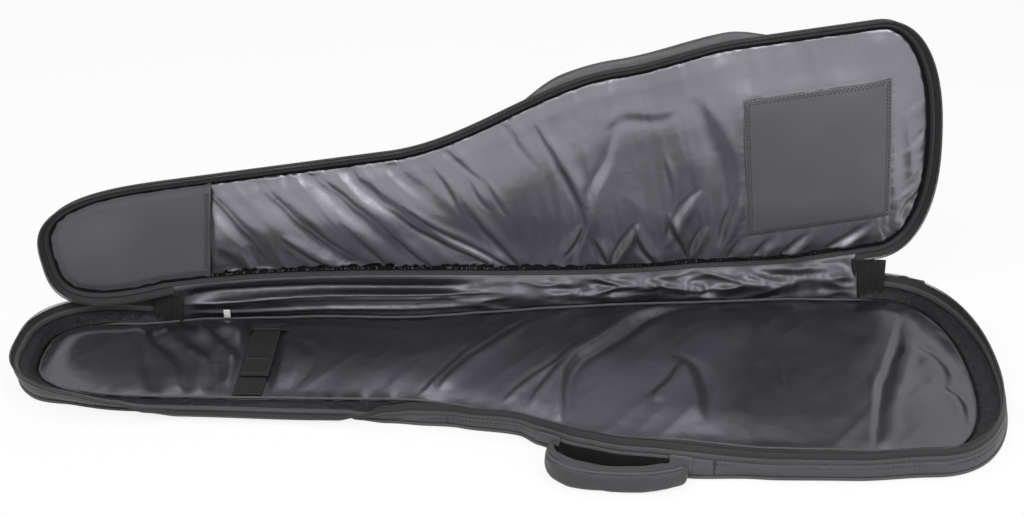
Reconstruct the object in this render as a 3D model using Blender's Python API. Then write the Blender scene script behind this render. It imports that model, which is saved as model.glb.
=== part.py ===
import math

import bmesh
import bpy
from mathutils import Matrix, Vector

# Bass guitar gig bag lying on its back, lid stood open. Metres, +X to the wide end, +Y to the hinge side, +Z up.

clearance = 0.0003
seamGap = 0.0006

# plan outline of the floor and the lid, measured at the zip line
length = 1.22
headEnd = -length / 2
tailEnd = length / 2
headRound = 0.197
headPower = 2.95
tailRound = 0.0913
tailPower = 2.32
farSide = {
    "head": 0.0986, "neck": 0.078, "shoulder": 0.1713, "bout": 0.1849,
    "neckEnd": headEnd + 0.150, "boutStart": tailEnd - 0.2834, "swell": (tailEnd - 0.360, tailEnd - 0.190),
}
nearSide = {
    "head": 0.0995, "neck": 0.0939, "shoulder": 0.168, "bout": 0.1851,
    "neckEnd": headEnd + 0.4826, "boutStart": tailEnd - 0.4295, "swell": (tailEnd - 0.4295, tailEnd - 0.270),
}

# hinge line of the lid, skewed to the bag's own axis
hingeMid = Vector((-0.010, 0.1444, 0.040))
hingeSkew = math.radians(7)
lidOpen = math.radians(86.1)
hingeGap = 0.0008

# where the zip stops on the hinge side, and where the wall is seamed on the near side
tabHeadX = headEnd + 0.159
tabBoutX = tailEnd - 0.115
seamWaistX = headEnd + 0.550
seamBoutX = tailEnd - 0.3435
hingeEndGap = 0.004

# layers of the base, from the ground up
panelThick = 0.0045
paddingThick = 0.0044
liningThick = 0.0012
wallThick = 0.0020
wallPadding = 0.0020
wallLining = 0.0010
hingeWallThick = 0.0014
pipingRadius = 0.0022
pipingLift = 0.0007
seamBindingRadius = 0.0017
seamBindingIn = 0.0028
floorPaddingIn = 0.0015
floorLiningIn = 0.0012
liningFootOut = 0.0022
hingeLiningIn = 0.0019

# zip and binding along a rim
coilRadius = 0.00175
tapeWidth = 0.008
tapeThick = 0.0010
tapeInset = 0.0010
bindingWidth = 0.007
bindingThick = 0.0062
zipEndGap = 0.004

# lid
lidRimIn = 0.012
lidRimRise = 0.017
lidWallThick = 0.0016
lidBindingThick = 0.0046
lidPanelThick = 0.0020
lidPaddingThick = 0.0040
lidPipingRise = 0.0012
lidSeamX = headEnd + 0.235
lidLiningGap = 0.0030
bridgePatchX = tailEnd - 0.1702
bridgePatchY = 0.0106
bridgePatchLong = 0.200
bridgePatchWide = 0.214
patchThick = 0.0012

# pocket on the outside of the lid
pocketStart = headEnd + 0.600
pocketEnd = tailEnd - 0.070
pocketInsetStops = [
    (tailEnd - 0.610, 0.034), (tailEnd - 0.500, 0.0125), (tailEnd - 0.280, 0.0125), (tailEnd - 0.180, 0.034),
]
pocketDepth = 0.032
pocketWall = 0.0018
pocketPanelThick = 0.0022
pocketCorner = 0.030
pocketHingeInset = 0.035
pocketSlope = math.radians(-6.4)
pocketZipIn = 0.045
pocketTapeWidth = 0.011

# zip sliders and pulls
sliderLong = 0.013
sliderWide = 0.0105
sliderTall = 0.0032
lugTall = 0.0046
lugLong = 0.0066
lugWide = 0.0024
lugThick = 0.0011
lugSunk = 0.0006
pullLong = 0.030
pullWide = 0.0078
pullThick = 0.0013
pullBar = 0.0007
pullEyeLong = 0.0062
pullEyeGap = 0.0006
pullAxisUp = 0.0013
sliderPark = 0.052
tabLong = 0.030
tabEndGap = 0.001

# strap across the neck
neckStrapX = headEnd + 0.2875
neckStrapWide = 0.037
strapThick = 0.0018
strapTipLong = 0.036
strapFarY = 0.079
strapHingeY = -0.012
strapPadNearY = -0.088
strapPadShift = 0.004
strapTipCut = 0.006

# carry handle on the near wall
handleStartX = tailEnd - 0.541
handleEndX = tailEnd - 0.386
handleReach = 0.050
handleLean = 0.40
handleTall = 0.027
handleDeep = 0.026
handleSquare = 0.6
handleRest = 0.0006
handleTabWide = 0.030
handleTabThick = 0.0024
handleAxisZ = 0.0145
handlePipingRadius = 0.0016
handlePipingOut = 0.62
handlePipingUp = 0.90
handleEndGap = 0.0015
mountFootGap = 0.004
handleEndTall = 0.0020
handleEndWide = 0.0056

# shoulder straps, lying in grooves of the back panel
shoulderTopX = headEnd + 0.510
shoulderEndX = tailEnd - 0.180
shoulderTopY = 0.030
shoulderEndY = 0.120
shoulderPadWide = 0.058
shoulderPadThick = 0.0031
shoulderWebWide = 0.025
shoulderWebThick = 0.0014
shoulderPadShare = 0.60
adjusterLong = 0.030
adjusterWide = 0.034
anchorLong = 0.050
anchorWide = 0.046
topAnchorLong = 0.050
topAnchorWide = 0.124
topAnchorGap = 0.004
grooveGap = 0.0006

# blank tag on the far floor seam
tagX = headEnd + 0.230
tagIn = 0.0045
tagWide = 0.009
tagTall = 0.0135
tagThick = 0.0005

# how the wall stands round the bag: foot and rim are measured outwards from the floor's edge
footZ = 0.0058
hingeFoot = 0.0032
hingeFootFlare = [(tabHeadX, 0.004), (headEnd + 0.200, 0.0), (tailEnd - 0.210, 0.0), (tabBoutX, 0.011)]
farFloorStops = [(headEnd + 0.090, 0.0), (headEnd + 0.210, 0.021), (headEnd + 0.330, 0.020), (headEnd + 0.500, 0.0)]
wallStops = [
    ("far", tabHeadX, 0.020, 0.0265, 0.040),
    ("tip", headEnd, 0.025, 0.0315, 0.040),
    ("near", headEnd + 0.025, 0.0245, 0.037, 0.040),
    ("near", headEnd + 0.070, 0.014, 0.043, 0.0375),
    ("near", headEnd + 0.124, 0.010, 0.036, 0.029),
    ("near", headEnd + 0.190, 0.004, 0.035, 0.007),
    ("near", headEnd + 0.405, 0.004, 0.040, 0.006),
    ("near", headEnd + 0.465, 0.033, 0.043, 0.031),
    ("near", headEnd + 0.510, 0.036, 0.0385, 0.035),
    ("near", headEnd + 0.570, 0.029, 0.035, 0.037),
    ("near", tailEnd - 0.580, 0.0186, 0.0252, 0.039),
    ("near", tailEnd - 0.541, 0.0277, 0.0284, 0.040),
    ("near", tailEnd - 0.453, 0.048, 0.0358, 0.040),
    ("near", tailEnd - 0.380, 0.0595, 0.0396, 0.040),
    ("near", tailEnd - 0.293, 0.0467, 0.0415, 0.040),
    ("near", tailEnd - 0.186, 0.0448, 0.0405, 0.040),
    ("near", tailEnd - 0.080, 0.034, 0.028, 0.040),
    ("tip", tailEnd, 0.038, 0.031, 0.040),
    ("far", tabBoutX, 0.014, 0.030, 0.040),
]


def smooth(t):
    t = min(max(t, 0.0), 1.0)
    return t * t * (3 - 2 * t)


def mix(a, b, t):
    return a + (b - a) * t


def along(x, stops):
    """Value at x between stops of (x, value)."""
    if x <= stops[0][0]:
        return stops[0][1]
    for (ax, a), (bx, b) in zip(stops, stops[1:]):
        if x <= bx:
            return mix(a, b, smooth((x - ax) / (bx - ax)))
    return stops[-1][1]


def endShare(x):
    """Superellipse rounding of the two ends, as a share of the half width."""
    share = 1.0
    for depth, rounding, power in ((x - headEnd, headRound, headPower), (tailEnd - x, tailRound, tailPower)):
        if depth < rounding:
            rest = 1 - max(depth, 0.0) / rounding
            share *= (1 - rest ** power) ** (1 / power)
    return share


def halfWidth(x, side):
    neck = mix(side["head"], side["neck"], min((x - headEnd) / (side["neckEnd"] - headEnd), 1.0))
    start, end = side["swell"]
    body = mix(side["shoulder"], side["bout"], smooth((x - start) / (end - start)))
    reach = smooth((x - side["neckEnd"]) / (side["boutStart"] - side["neckEnd"]))
    return mix(neck, body, reach) * endShare(x)


def outlineTable(count=500):
    """The outline as (distance, x, y), from the head tip round the near side to the tail and back."""
    points = []
    for i in range(count):
        x = headEnd * math.cos(math.pi * i / count)
        points.append((x, -halfWidth(x, nearSide)))
    for i in range(count + 1):
        x = tailEnd * math.cos(math.pi * i / count)
        points.append((x, halfWidth(x, farSide)))
    table = [(0.0, *points[0])]
    for (ax, ay), (bx, by) in zip(points, points[1:]):
        table.append((table[-1][0] + math.hypot(bx - ax, by - ay), bx, by))
    return table, count


table, tipIndex = outlineTable()
total = table[-1][0]


def sAt(side, x):
    """Distance along the outline of the point at x on one side."""
    if side == "tip":
        return 0.0 if x < 0 else table[tipIndex][0]
    rows = table[:tipIndex + 1] if side == "near" else table[tipIndex:]
    return min(rows, key=lambda row: abs(row[1] - x))[0]


def planPoint(s):
    s = s % total
    low, high = 0, len(table) - 1
    while high - low > 1:
        mid = (low + high) // 2
        if table[mid][0] <= s:
            low = mid
        else:
            high = mid
    a, b = table[low], table[high]
    t = (s - a[0]) / max(b[0] - a[0], 1e-9)
    return Vector((mix(a[1], b[1], t), mix(a[2], b[2], t), 0.0))


def planTangent(s, step=0.004):
    return (planPoint(s + step) - planPoint(s - step)).normalized()


def planNormal(s):
    t = planTangent(s)
    return Vector((t.y, -t.x, 0.0))


def offsetPoint(s, out, z):
    p = planPoint(s) + planNormal(s) * out
    p.z = z
    return p


def stations(start, end, turn=math.radians(11), step=0.055):
    """Places along a stretch, closer together where the outline turns."""
    places = [start]
    s = start
    last = planTangent(start)
    fine = 0.003
    while s < end - fine:
        s += fine
        now = planTangent(s)
        if now.angle(last) > turn or s - places[-1] > step:
            places.append(s)
            last = now
    if end - places[-1] < fine * 3 and len(places) > 1:
        places.pop()
    places.append(end)
    return places


def around():
    return stations(0.0, total)[:-1]


# stretches of wall, as distances along the outline
headTabS = sAt("far", tabHeadX)
boutTabS = sAt("far", tabBoutX)
zipStart = headTabS - total
waistS = sAt("near", seamWaistX)
boutS = sAt("near", seamBoutX)


def stopPlaces():
    rows = []
    for side, x, foot, rim, top in wallStops:
        s = sAt(side, x)
        if side == "far" and x < 0:
            s -= total
        rows.append((s, foot, rim, top))
    return rows


wallRows = stopPlaces()


def wallStance(s):
    """Foot distance, rim distance and rim height at one place along the zip."""
    if s <= wallRows[0][0]:
        return wallRows[0][1:]
    for a, b in zip(wallRows, wallRows[1:]):
        if s <= b[0]:
            t = smooth((s - a[0]) / (b[0] - a[0]))
            return tuple(mix(a[i], b[i], t) for i in (1, 2, 3))
    return wallRows[-1][1:]


hingeAxis = Vector((math.cos(hingeSkew), math.sin(hingeSkew), 0.0))
closedFrame = Matrix.Translation(hingeMid) @ Matrix.Rotation(hingeSkew, 4, "Z")
openFrame = closedFrame @ Matrix.Rotation(-lidOpen, 4, "X")
toLid = closedFrame.inverted()


def isHinge(s):
    return boutTabS < s % total < headTabS


lidEdgeLong = math.hypot(lidRimIn, lidRimRise)


def lidSlant(s, rise, inward):
    """A point on the lid's rim: up its slanting wall from the zip line, inward into the bag."""
    slantOut = -lidRimIn / lidEdgeLong
    slantUp = lidRimRise / lidEdgeLong
    out = slantOut * rise - slantUp * inward
    z = slantUp * rise + slantOut * inward
    return offsetPoint(s, out, hingeMid.z + z)


def floorOut(s):
    """How far the floor's edge reaches past the lid's outline: only on the hinge side of the neck."""
    p = planPoint(s)
    return along(p.x, farFloorStops) if p.y > 0 else 0.0


def footOut(s):
    if isHinge(s):
        return floorOut(s) + hingeFoot + along(planPoint(s).x, hingeFootFlare)
    s = s % total
    return wallStance(s if s <= boutTabS else s - total)[0]


def footOf(s):
    return offsetPoint(s, footOut(s), footZ)


def topOf(s):
    if not isHinge(s):
        _, rim, top = wallStance(s)
        return offsetPoint(s, rim, top)
    seat = lidSlant(s, coilRadius * 2 + tapeWidth + clearance, 0.0)
    opened = openFrame @ (toLid @ seat)
    axisPoint = hingeMid + hingeAxis * (opened - hingeMid).dot(hingeAxis)
    arm = opened - axisPoint
    return axisPoint + arm * (1 - hingeGap / arm.length)


def wallPoint(s, down, inward):
    """A point on the wall: down from its upper edge, inward from its outer face."""
    top = topOf(s)
    run = (footOf(s) - top).normalized()
    into = (-run).cross(planTangent(s)).normalized()
    return top + run * down + into * inward


def wallLong(s):
    return (footOf(s) - topOf(s)).length


rimCoil = coilRadius * 2
rimTape = rimCoil + tapeWidth
rimBinding = rimTape + seamGap + bindingWidth
wallTop = rimBinding + seamGap


def clearScene():
    for obj in list(bpy.data.objects):
        bpy.data.objects.remove(obj, do_unlink=True)


def material(name, color, roughness, metallic=0.0):
    found = bpy.data.materials.get(name)
    if found:
        return found
    made = bpy.data.materials.new(name)
    made.use_nodes = True
    shader = made.node_tree.nodes["Principled BSDF"]
    shader.inputs["Base Color"].default_value = (*color, 1.0)
    shader.inputs["Roughness"].default_value = roughness
    shader.inputs["Metallic"].default_value = metallic
    made.diffuse_color = (*color, 1.0)
    return made


looks = {
    "nylon": ((0.018, 0.018, 0.020), 0.70, 0.0),
    "satin": ((0.070, 0.066, 0.072), 0.42, 0.0),
    "matt": ((0.050, 0.050, 0.054), 0.85, 0.0),
    "foam": ((0.25, 0.25, 0.26), 0.95, 0.0),
    "binding": ((0.045, 0.045, 0.048), 0.60, 0.0),
    "tape": ((0.020, 0.020, 0.022), 0.80, 0.0),
    "coil": ((0.015, 0.015, 0.016), 0.45, 0.0),
    "webbing": ((0.012, 0.012, 0.013), 0.90, 0.0),
    "metal": ((0.10, 0.10, 0.11), 0.35, 1.0),
    "plastic": ((0.015, 0.015, 0.016), 0.40, 0.0),
    "label": ((0.80, 0.80, 0.80), 0.60, 0.0),
}


def place(name, look, verts, faces, parent=None, smoothAngle=None):
    mesh = bpy.data.meshes.new(name)
    mesh.from_pydata([tuple(v) for v in verts], [], faces)
    bm = bmesh.new()
    bm.from_mesh(mesh)
    bmesh.ops.recalc_face_normals(bm, faces=bm.faces)
    bm.to_mesh(mesh)
    bm.free()
    obj = bpy.data.objects.new(name, mesh)
    bpy.context.collection.objects.link(obj)
    mesh.materials.append(material(look, *looks[look]))
    if smoothAngle:
        mesh.shade_smooth()
        mesh.set_sharp_from_angle(angle=smoothAngle)
    if parent:
        obj.parent = parent
    return obj


def sweep(name, look, rings, closed=False, parent=None, smoothAngle=None):
    """Skin over a row of sections with the same number of points."""
    size = len(rings[0])
    verts = [Vector(p) for ring in rings for p in ring]
    faces = []
    pairs = len(rings) if closed else len(rings) - 1
    for i in range(pairs):
        a = i * size
        b = (i + 1) % len(rings) * size
        for j in range(size):
            k = (j + 1) % size
            corners = (a + j, b + j, b + k, a + k)
            if (verts[a + j] - verts[b + k]).length > (verts[b + j] - verts[a + k]).length:
                corners = corners[1:] + corners[:1]
            faces.append(corners[:3])
            faces.append((corners[0], corners[2], corners[3]))
    if not closed:
        faces.append(tuple(range(size)))
        faces.append(tuple(range(len(verts) - 1, len(verts) - size - 1, -1)))
    return place(name, look, verts, faces, parent, smoothAngle)


def slab(name, look, points, low, high, parent=None):
    """A flat plate from a plan polygon of (x, y) points."""
    size = len(points)
    verts = [(x, y, low) for x, y in points] + [(x, y, high) for x, y in points]
    faces = [tuple(range(size - 1, -1, -1)), tuple(range(size, 2 * size))]
    for i in range(size):
        k = (i + 1) % size
        faces.append((i, k, size + k, size + i))
    return place(name, look, verts, faces, parent)


def frameSlab(name, look, outer, inner, low, high, parent=None):
    """A plate with one hole: outer and inner have the same number of (x, y) points."""
    rings = []
    for (ox, oy), (ix, iy) in zip(outer, inner):
        rings.append([(ox, oy, low), (ox, oy, high), (ix, iy, high), (ix, iy, low)])
    return sweep(name, look, rings, closed=True, parent=parent)


def tubeRing(centre, across, up, radius, sides=6):
    ring = []
    for k in range(sides):
        a = 2 * math.pi * (k + 0.5) / sides
        ring.append(centre + across * (radius * math.cos(a)) + up * (radius * math.sin(a)))
    return ring


def tubeAt(s, centre, radius, sides=6):
    return tubeRing(centre, planNormal(s), Vector((0, 0, 1)), radius, sides)


def clip(points, keep):
    """Cut a polygon by a line: keep gives a signed distance, positive on the side that stays."""
    out = []
    for i, p in enumerate(points):
        q = points[(i + 1) % len(points)]
        a, b = keep(p), keep(q)
        if a >= 0:
            out.append(p)
        if (a >= 0) != (b >= 0):
            t = a / (a - b)
            out.append((mix(p[0], q[0], t), mix(p[1], q[1], t)))
    cleaned = []
    for p in out:
        if not cleaned or math.hypot(p[0] - cleaned[-1][0], p[1] - cleaned[-1][1]) > 0.002:
            cleaned.append(p)
    return cleaned


def roundCorners(points, radius, sharp=math.radians(35), steps=4):
    """Replace each sharp corner of a polygon by an arc."""
    out = []
    count = len(points)
    for i in range(count):
        p = Vector(points[i])
        a = Vector(points[i - 1]) - p
        b = Vector(points[(i + 1) % count]) - p
        if math.pi - a.angle(b) < sharp:
            out.append(tuple(p))
            continue
        reach = min(radius, a.length * 0.45, b.length * 0.45)
        start = p + a.normalized() * reach
        end = p + b.normalized() * reach
        for k in range(steps + 1):
            t = k / steps
            q = start * (1 - t) ** 2 + p * (2 * t * (1 - t)) + end * t ** 2
            out.append(tuple(q))
    return out


def outlineAt(out):
    return [tuple(offsetPoint(s, out(s) if callable(out) else out, 0.0).xy) for s in around()]


def panelEdge(s):
    """How far out the back panel reaches, just inside the piping."""
    return footOut(s) - pipingRadius - clearance


panelTop = panelThick
paddingLow = panelTop + clearance
paddingTop = paddingLow + paddingThick
floorLow = paddingTop + clearance
floorTop = floorLow + liningThick


def makeBack():
    panel = slab("back_panel", "nylon", outlineAt(panelEdge), 0.0, panelTop)
    slab("back_padding", "foam", outlineAt(lambda s: floorOut(s) - floorPaddingIn), paddingLow, paddingTop)
    slab("floor_lining", "satin", outlineAt(lambda s: floorOut(s) - floorLiningIn), floorLow, floorTop)
    rings = [tubeAt(s, offsetPoint(s, footOut(s), pipingRadius + pipingLift), pipingRadius) for s in around()]
    sweep("bottom_piping", "binding", rings, closed=True, smoothAngle=1.2)
    height = floorTop + clearance + seamBindingRadius
    rings = [tubeAt(s, offsetPoint(s, floorOut(s) - seamBindingIn, height), seamBindingRadius) for s in around()]
    sweep("floor_seam_binding", "binding", rings, closed=True, smoothAngle=1.2)
    return panel


def trimmed(start, end, lean=math.radians(7)):
    """Stations of a stretch, half a clearance short at each end, closer together where the wall's lean changes."""
    coarse = stations(start + clearance / 2, end - clearance / 2)
    places = [coarse[0]]
    for s in coarse[1:]:
        before = places[-1]
        a = footOf(before) - topOf(before)
        b = footOf(s) - topOf(s)
        parts = math.ceil(a.angle(b) / lean)
        for k in range(1, parts):
            places.append(mix(before, s, k / parts))
        places.append(s)
    return places


def liningFoot(s, z):
    return offsetPoint(s, floorOut(s) + (hingeFoot - hingeLiningIn if isHinge(s) else liningFootOut), z)


def liningRing(s, down, skin):
    """A sheet of lining from the wall's face down to the floor's seam."""
    top = wallPoint(s, down, skin)
    foot = liningFoot(s, floorTop + clearance)
    into = (top - foot).cross(planTangent(s)).normalized() * wallLining
    return [top, top + into, foot + into, foot]


def wallRing(s):
    return stripRing(wallPoint, s, wallTop, wallLong(s), wallThick, 0)


def paddingRing(s):
    skin = wallThick + clearance
    base = wallPoint(s, wallLong(s) - seamGap, skin)
    back = liningFoot(s, floorTop - clearance)
    seat = liningFoot(s, base.z)
    shoulder = wallPoint(s, wallTop + wallLining + clearance, skin + wallPadding)
    return [wallPoint(s, wallTop, skin), shoulder, back, seat, base]


def hingeRing(s):
    return stripRing(wallPoint, s, 0, wallLong(s), hingeWallThick, 0)


def makeWalls():
    stretches = {"neck": (zipStart, waistS), "waist": (waistS, boutS), "bout": (boutS, boutTabS)}
    for name, (start, end) in stretches.items():
        places = trimmed(start, end)
        sweep("gusset_" + name, "nylon", [wallRing(s) for s in places])
        sweep("padding_" + name, "foam", [paddingRing(s) for s in places])
        skin = wallThick + wallPadding + 2 * clearance
        sweep("lining_" + name, "satin", [liningRing(s, wallTop + wallLining, skin) for s in places])
    places = trimmed(boutTabS + hingeEndGap, headTabS - hingeEndGap)
    sweep("gusset_hinge", "nylon", [hingeRing(s) for s in places])
    sweep("lining_hinge", "satin", [liningRing(s, wallLining, hingeWallThick + clearance) for s in places])


def stripRing(point, s, low, high, inner, outer):
    return [point(s, low, inner), point(s, low, outer), point(s, high, outer), point(s, high, inner)]


def coilRing(point, s):
    ring = []
    for k in range(6):
        a = 2 * math.pi * (k + 0.5) / 6
        ring.append(point(s, coilRadius + coilRadius * math.cos(a), coilRadius + coilRadius * math.sin(a)))
    return ring


def makeBaseRim():
    places = trimmed(zipStart, boutTabS)
    low = rimTape + seamGap
    binding = [stripRing(wallPoint, s, low, low + bindingWidth, 0, bindingThick) for s in places]
    sweep("base_rim_binding", "binding", binding)
    inner = tapeInset
    tape = [stripRing(wallPoint, s, rimCoil + seamGap, rimTape, inner, inner + tapeThick) for s in places]
    sweep("base_zip_tape", "tape", tape)
    sweep("base_zip_coil", "coil", [coilRing(wallPoint, s) for s in places], smoothAngle=1.2)


def makeTabs():
    inner = bindingThick + clearance
    stretches = {
        "zip_tab_head": (zipStart + tabEndGap, zipStart + tabLong),
        "zip_tab_bout": (boutTabS - tabLong, boutTabS - tabEndGap),
    }
    for name, (start, end) in stretches.items():
        rings = [stripRing(wallPoint, s, 0.0, rimBinding, inner, inner + tapeThick) for s in stations(start, end)]
        sweep(name, "tape", rings)


def planToLid(points):
    return [tuple((toLid @ Vector((x, y, 0.0))).xy) for x, y in points]


def makeLid(parent):
    def lidLocal(rings):
        return [[toLid @ p for p in ring] for ring in rings]

    low = rimTape + seamGap
    start, end = (zipStart + zipEndGap) % total, boutTabS - zipEndGap
    ring = sorted([s for s in around() if min(abs(s - start), abs(s - end)) > zipEndGap * 1.5] + [start, end])
    zipped = [s - total for s in ring if s >= start] + [s for s in ring if s <= end]
    tape = [stripRing(lidSlant, s, rimCoil + clearance, rimTape, tapeInset, tapeInset + tapeThick) for s in zipped]
    sweep("lid_zip_tape", "tape", lidLocal(tape), parent=parent)
    sweep("lid_zip_coil", "coil", lidLocal([coilRing(lidSlant, s) for s in zipped]), parent=parent, smoothAngle=1.2)
    binding = [stripRing(lidSlant, s, low, low + bindingWidth, 0, lidBindingThick) for s in ring]
    sweep("lid_rim_binding", "binding", lidLocal(binding), closed=True, parent=parent)
    gusset = [stripRing(lidSlant, s, wallTop, lidEdgeLong, 0, lidWallThick) for s in ring]
    sweep("lid_gusset", "nylon", lidLocal(gusset), closed=True, parent=parent)

    panelLow = lidRimRise + clearance
    panelOut = -lidRimIn
    panel = [tuple(offsetPoint(s, panelOut, 0.0).xy) for s in ring]
    slab("lid_panel", "nylon", planToLid(panel), panelLow, panelLow + lidPanelThick, parent)
    pipe = []
    height = hingeMid.z + panelLow + lidPanelThick / 2 + lidPipingRise
    for s in ring:
        centre = offsetPoint(s, panelOut + pipingRadius + clearance, height)
        pipe.append(tubeAt(s, centre, pipingRadius))
    sweep("lid_piping", "binding", lidLocal(pipe), closed=True, parent=parent, smoothAngle=1.2)

    inner = panelOut - lidWallThick - lidLiningGap
    paddingHigh = panelLow - clearance
    paddingBase = paddingHigh - lidPaddingThick
    inset = [tuple(offsetPoint(s, inner, 0.0).xy) for s in ring]
    slab("lid_padding", "foam", planToLid(inset), paddingBase, paddingHigh, parent)
    liningHigh = paddingBase - clearance
    liningLow = liningHigh - liningThick
    main = clip(inset, lambda p: p[0] - lidSeamX - clearance / 2)
    head = clip(inset, lambda p: lidSeamX - clearance / 2 - p[0])
    for name, look, points in (("lid_lining", "satin", main), ("lid_head_patch", "matt", head)):
        slab(name, look, planToLid(points), liningLow, liningHigh, parent)
    corners = []
    for sx, sy in ((-1, -1), (1, -1), (1, 1), (-1, 1)):
        corners.append((bridgePatchX + sx * bridgePatchLong / 2, bridgePatchY + sy * bridgePatchWide / 2))
    patchHigh = liningLow - clearance
    slab("lid_bridge_patch", "matt", planToLid(corners), patchHigh - patchThick, patchHigh, parent)
    return panelLow + lidPanelThick


def pocketOutline():
    """The pocket's edge in plan: close to the lid's edge in the middle of the zip side, further in elsewhere."""
    def inset(s):
        p = planPoint(s)
        return -pocketHingeInset if p.y > 0 else -along(p.x, pocketInsetStops)

    points = outlineAt(inset)
    points = clip(points, lambda p: p[0] - pocketStart)
    points = clip(points, lambda p: pocketEnd - p[0])
    return roundCorners(points, pocketCorner)


def makePocket(parent, base):
    frame = empty("pocket_frame", Matrix.Rotation(pocketSlope - hingeSkew, 4, "Z"), parent)
    toPocket = (closedFrame @ Matrix.Rotation(pocketSlope - hingeSkew, 4, "Z")).inverted()
    low = base + clearance
    high = low + pocketDepth
    outer = [tuple((toPocket @ Vector((x, y, 0.0))).xy) for x, y in pocketOutline()]
    inner = []
    count = len(outer)
    for i in range(count):
        t = (Vector(outer[(i + 1) % count]) - Vector(outer[i - 1])).normalized()
        inner.append(tuple(Vector(outer[i]) + Vector((-t.y, t.x)) * pocketWall))
    frameSlab("pocket_gusset", "nylon", outer, inner, low, high, frame)
    top = high + clearance
    zipY = min(y for _, y in outer) + pocketZipIn
    half = coilRadius + clearance
    tapeEdge = half + pocketTapeWidth
    bands = (
        ("pocket_panel", "nylon", zipY + tapeEdge + clearance, None, pocketPanelThick),
        ("pocket_edge_panel", "nylon", None, zipY - tapeEdge - clearance, pocketPanelThick),
        ("pocket_tape_lower", "tape", zipY + half, zipY + tapeEdge, tapeThick),
        ("pocket_tape_upper", "tape", zipY - tapeEdge, zipY - half, tapeThick),
    )
    for name, look, start, end, thick in bands:
        points = outer
        if start is not None:
            points = clip(points, lambda p: p[1] - start)
        if end is not None:
            points = clip(points, lambda p: end - p[1])
        slab(name, look, points, top, top + thick, frame)
    crossings = []
    for i in range(count):
        p, q = outer[i], outer[(i + 1) % count]
        if (p[1] - zipY) * (q[1] - zipY) < 0:
            crossings.append(mix(p[0], q[0], (zipY - p[1]) / (q[1] - p[1])))
    start, end = min(crossings) + 0.004, max(crossings) - 0.004
    rings = []
    for x in (start, end):
        centre = Vector((x, zipY, top + coilRadius))
        rings.append(tubeRing(centre, Vector((0, 1, 0)), Vector((0, 0, 1)), coilRadius))
    sweep("pocket_coil", "coil", rings, parent=frame, smoothAngle=1.2)
    return frame, start, zipY, top + 2 * coilRadius + clearance


def sliderMesh(name, parent):
    """A tapered body with an arched lug. Local X is the way it slides, local Z is away from the tape."""
    half = sliderWide / 2
    long = sliderLong / 2
    outline = [(-long, -half * 0.62), (-long * 0.2, -half), (long * 0.7, -half), (long, -half * 0.75),
               (long, half * 0.75), (long * 0.7, half), (-long * 0.2, half), (-long, half * 0.62)]
    base = slab(name, "metal", outline, 0.0, sliderTall, parent)
    arch = []
    steps = 5
    for k in range(steps + 1):
        a = math.pi * k / steps
        arch.append((-lugLong / 2 * math.cos(a), lugTall * math.sin(a)))
    inner = []
    for k in range(steps + 1):
        a = math.pi * k / steps
        inner.append((-(lugLong / 2 - lugThick) * math.cos(a), (lugTall - lugThick) * math.sin(a)))
    verts = []
    for side in (-lugWide / 2, lugWide / 2):
        verts += [(x, side, sliderTall - lugSunk + z) for x, z in arch]
        verts += [(x, side, sliderTall - lugSunk + z) for x, z in reversed(inner)]
    size = 2 * (steps + 1)
    faces = []
    for i in range(size):
        k = (i + 1) % size
        faces.append((i, k, size + k, size + i))
    for i in range(steps):
        j = size - 1 - i
        faces.append((i, i + 1, j - 1, j))
        faces.append((size + i, size + j, size + j - 1, size + i + 1))
    lug = place(name + "_lug", "metal", verts, faces, parent)
    join = base.modifiers.new("lug", "BOOLEAN")
    join.operation = "UNION"
    join.object = lug
    lug.hide_render = True
    lug.display_type = "WIRE"
    return base


pullAxisZ = sliderTall + pullAxisUp


def pullMesh(name, parent):
    """Zip pull: a tab whose eye goes round the slider's lug. Its origin is the hinge, the tab lies along +X."""
    half = pullWide / 2
    slotHalf = lugWide / 2 + pullEyeGap
    bar = pullBar
    slotEnd = pullEyeLong
    tip = pullLong
    outer = [(-bar, -half * 0.7), (slotEnd * 0.5, -half * 0.7), (tip * 0.5, -half), (tip - half * 0.5, -half),
             (tip, -half * 0.5), (tip, half * 0.5), (tip - half * 0.5, half), (tip * 0.5, half),
             (slotEnd * 0.5, half * 0.7), (-bar, half * 0.7)]
    inner = [(bar, -slotHalf), (slotEnd * 0.4, -slotHalf), (slotEnd * 0.8, -slotHalf), (slotEnd, -slotHalf),
             (slotEnd, -slotHalf * 0.5), (slotEnd, slotHalf * 0.5), (slotEnd, slotHalf), (slotEnd * 0.8, slotHalf),
             (slotEnd * 0.4, slotHalf), (bar, slotHalf)]
    return frameSlab(name, "metal", outer, inner, -pullThick / 2, pullThick / 2, parent)


def empty(name, matrix, parent=None):
    obj = bpy.data.objects.new(name, None)
    obj.empty_display_size = 0.02
    bpy.context.collection.objects.link(obj)
    if parent:
        obj.parent = parent
        obj.matrix_basis = matrix
    else:
        obj.matrix_world = matrix
    return obj


def zipFrame(s, flip):
    """Frame on the outer face of the zip: X along it, Z away from the wall."""
    at = wallPoint(s, rimTape / 2, -clearance)
    outward = (wallPoint(s, rimTape / 2, -0.01) - at).normalized()
    across = outward.cross(planTangent(s) * flip).normalized()
    forward = across.cross(outward).normalized()
    frame = Matrix((forward, across, outward)).transposed().to_4x4()
    frame.translation = at
    return frame


def makeSliders():
    places = (("head", zipStart + sliderPark, 1), ("bout", boutTabS - sliderPark, -1))
    for name, s, flip in places:
        frame = empty("slider_" + name + "_place", zipFrame(s, flip))
        sliderMesh("zip_slider_" + name, frame)
        hinge = empty("pull_" + name + "_hinge", Matrix.Translation((0, 0, pullAxisZ)), frame)
        pullMesh("zip_pull_" + name, hinge)


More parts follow.
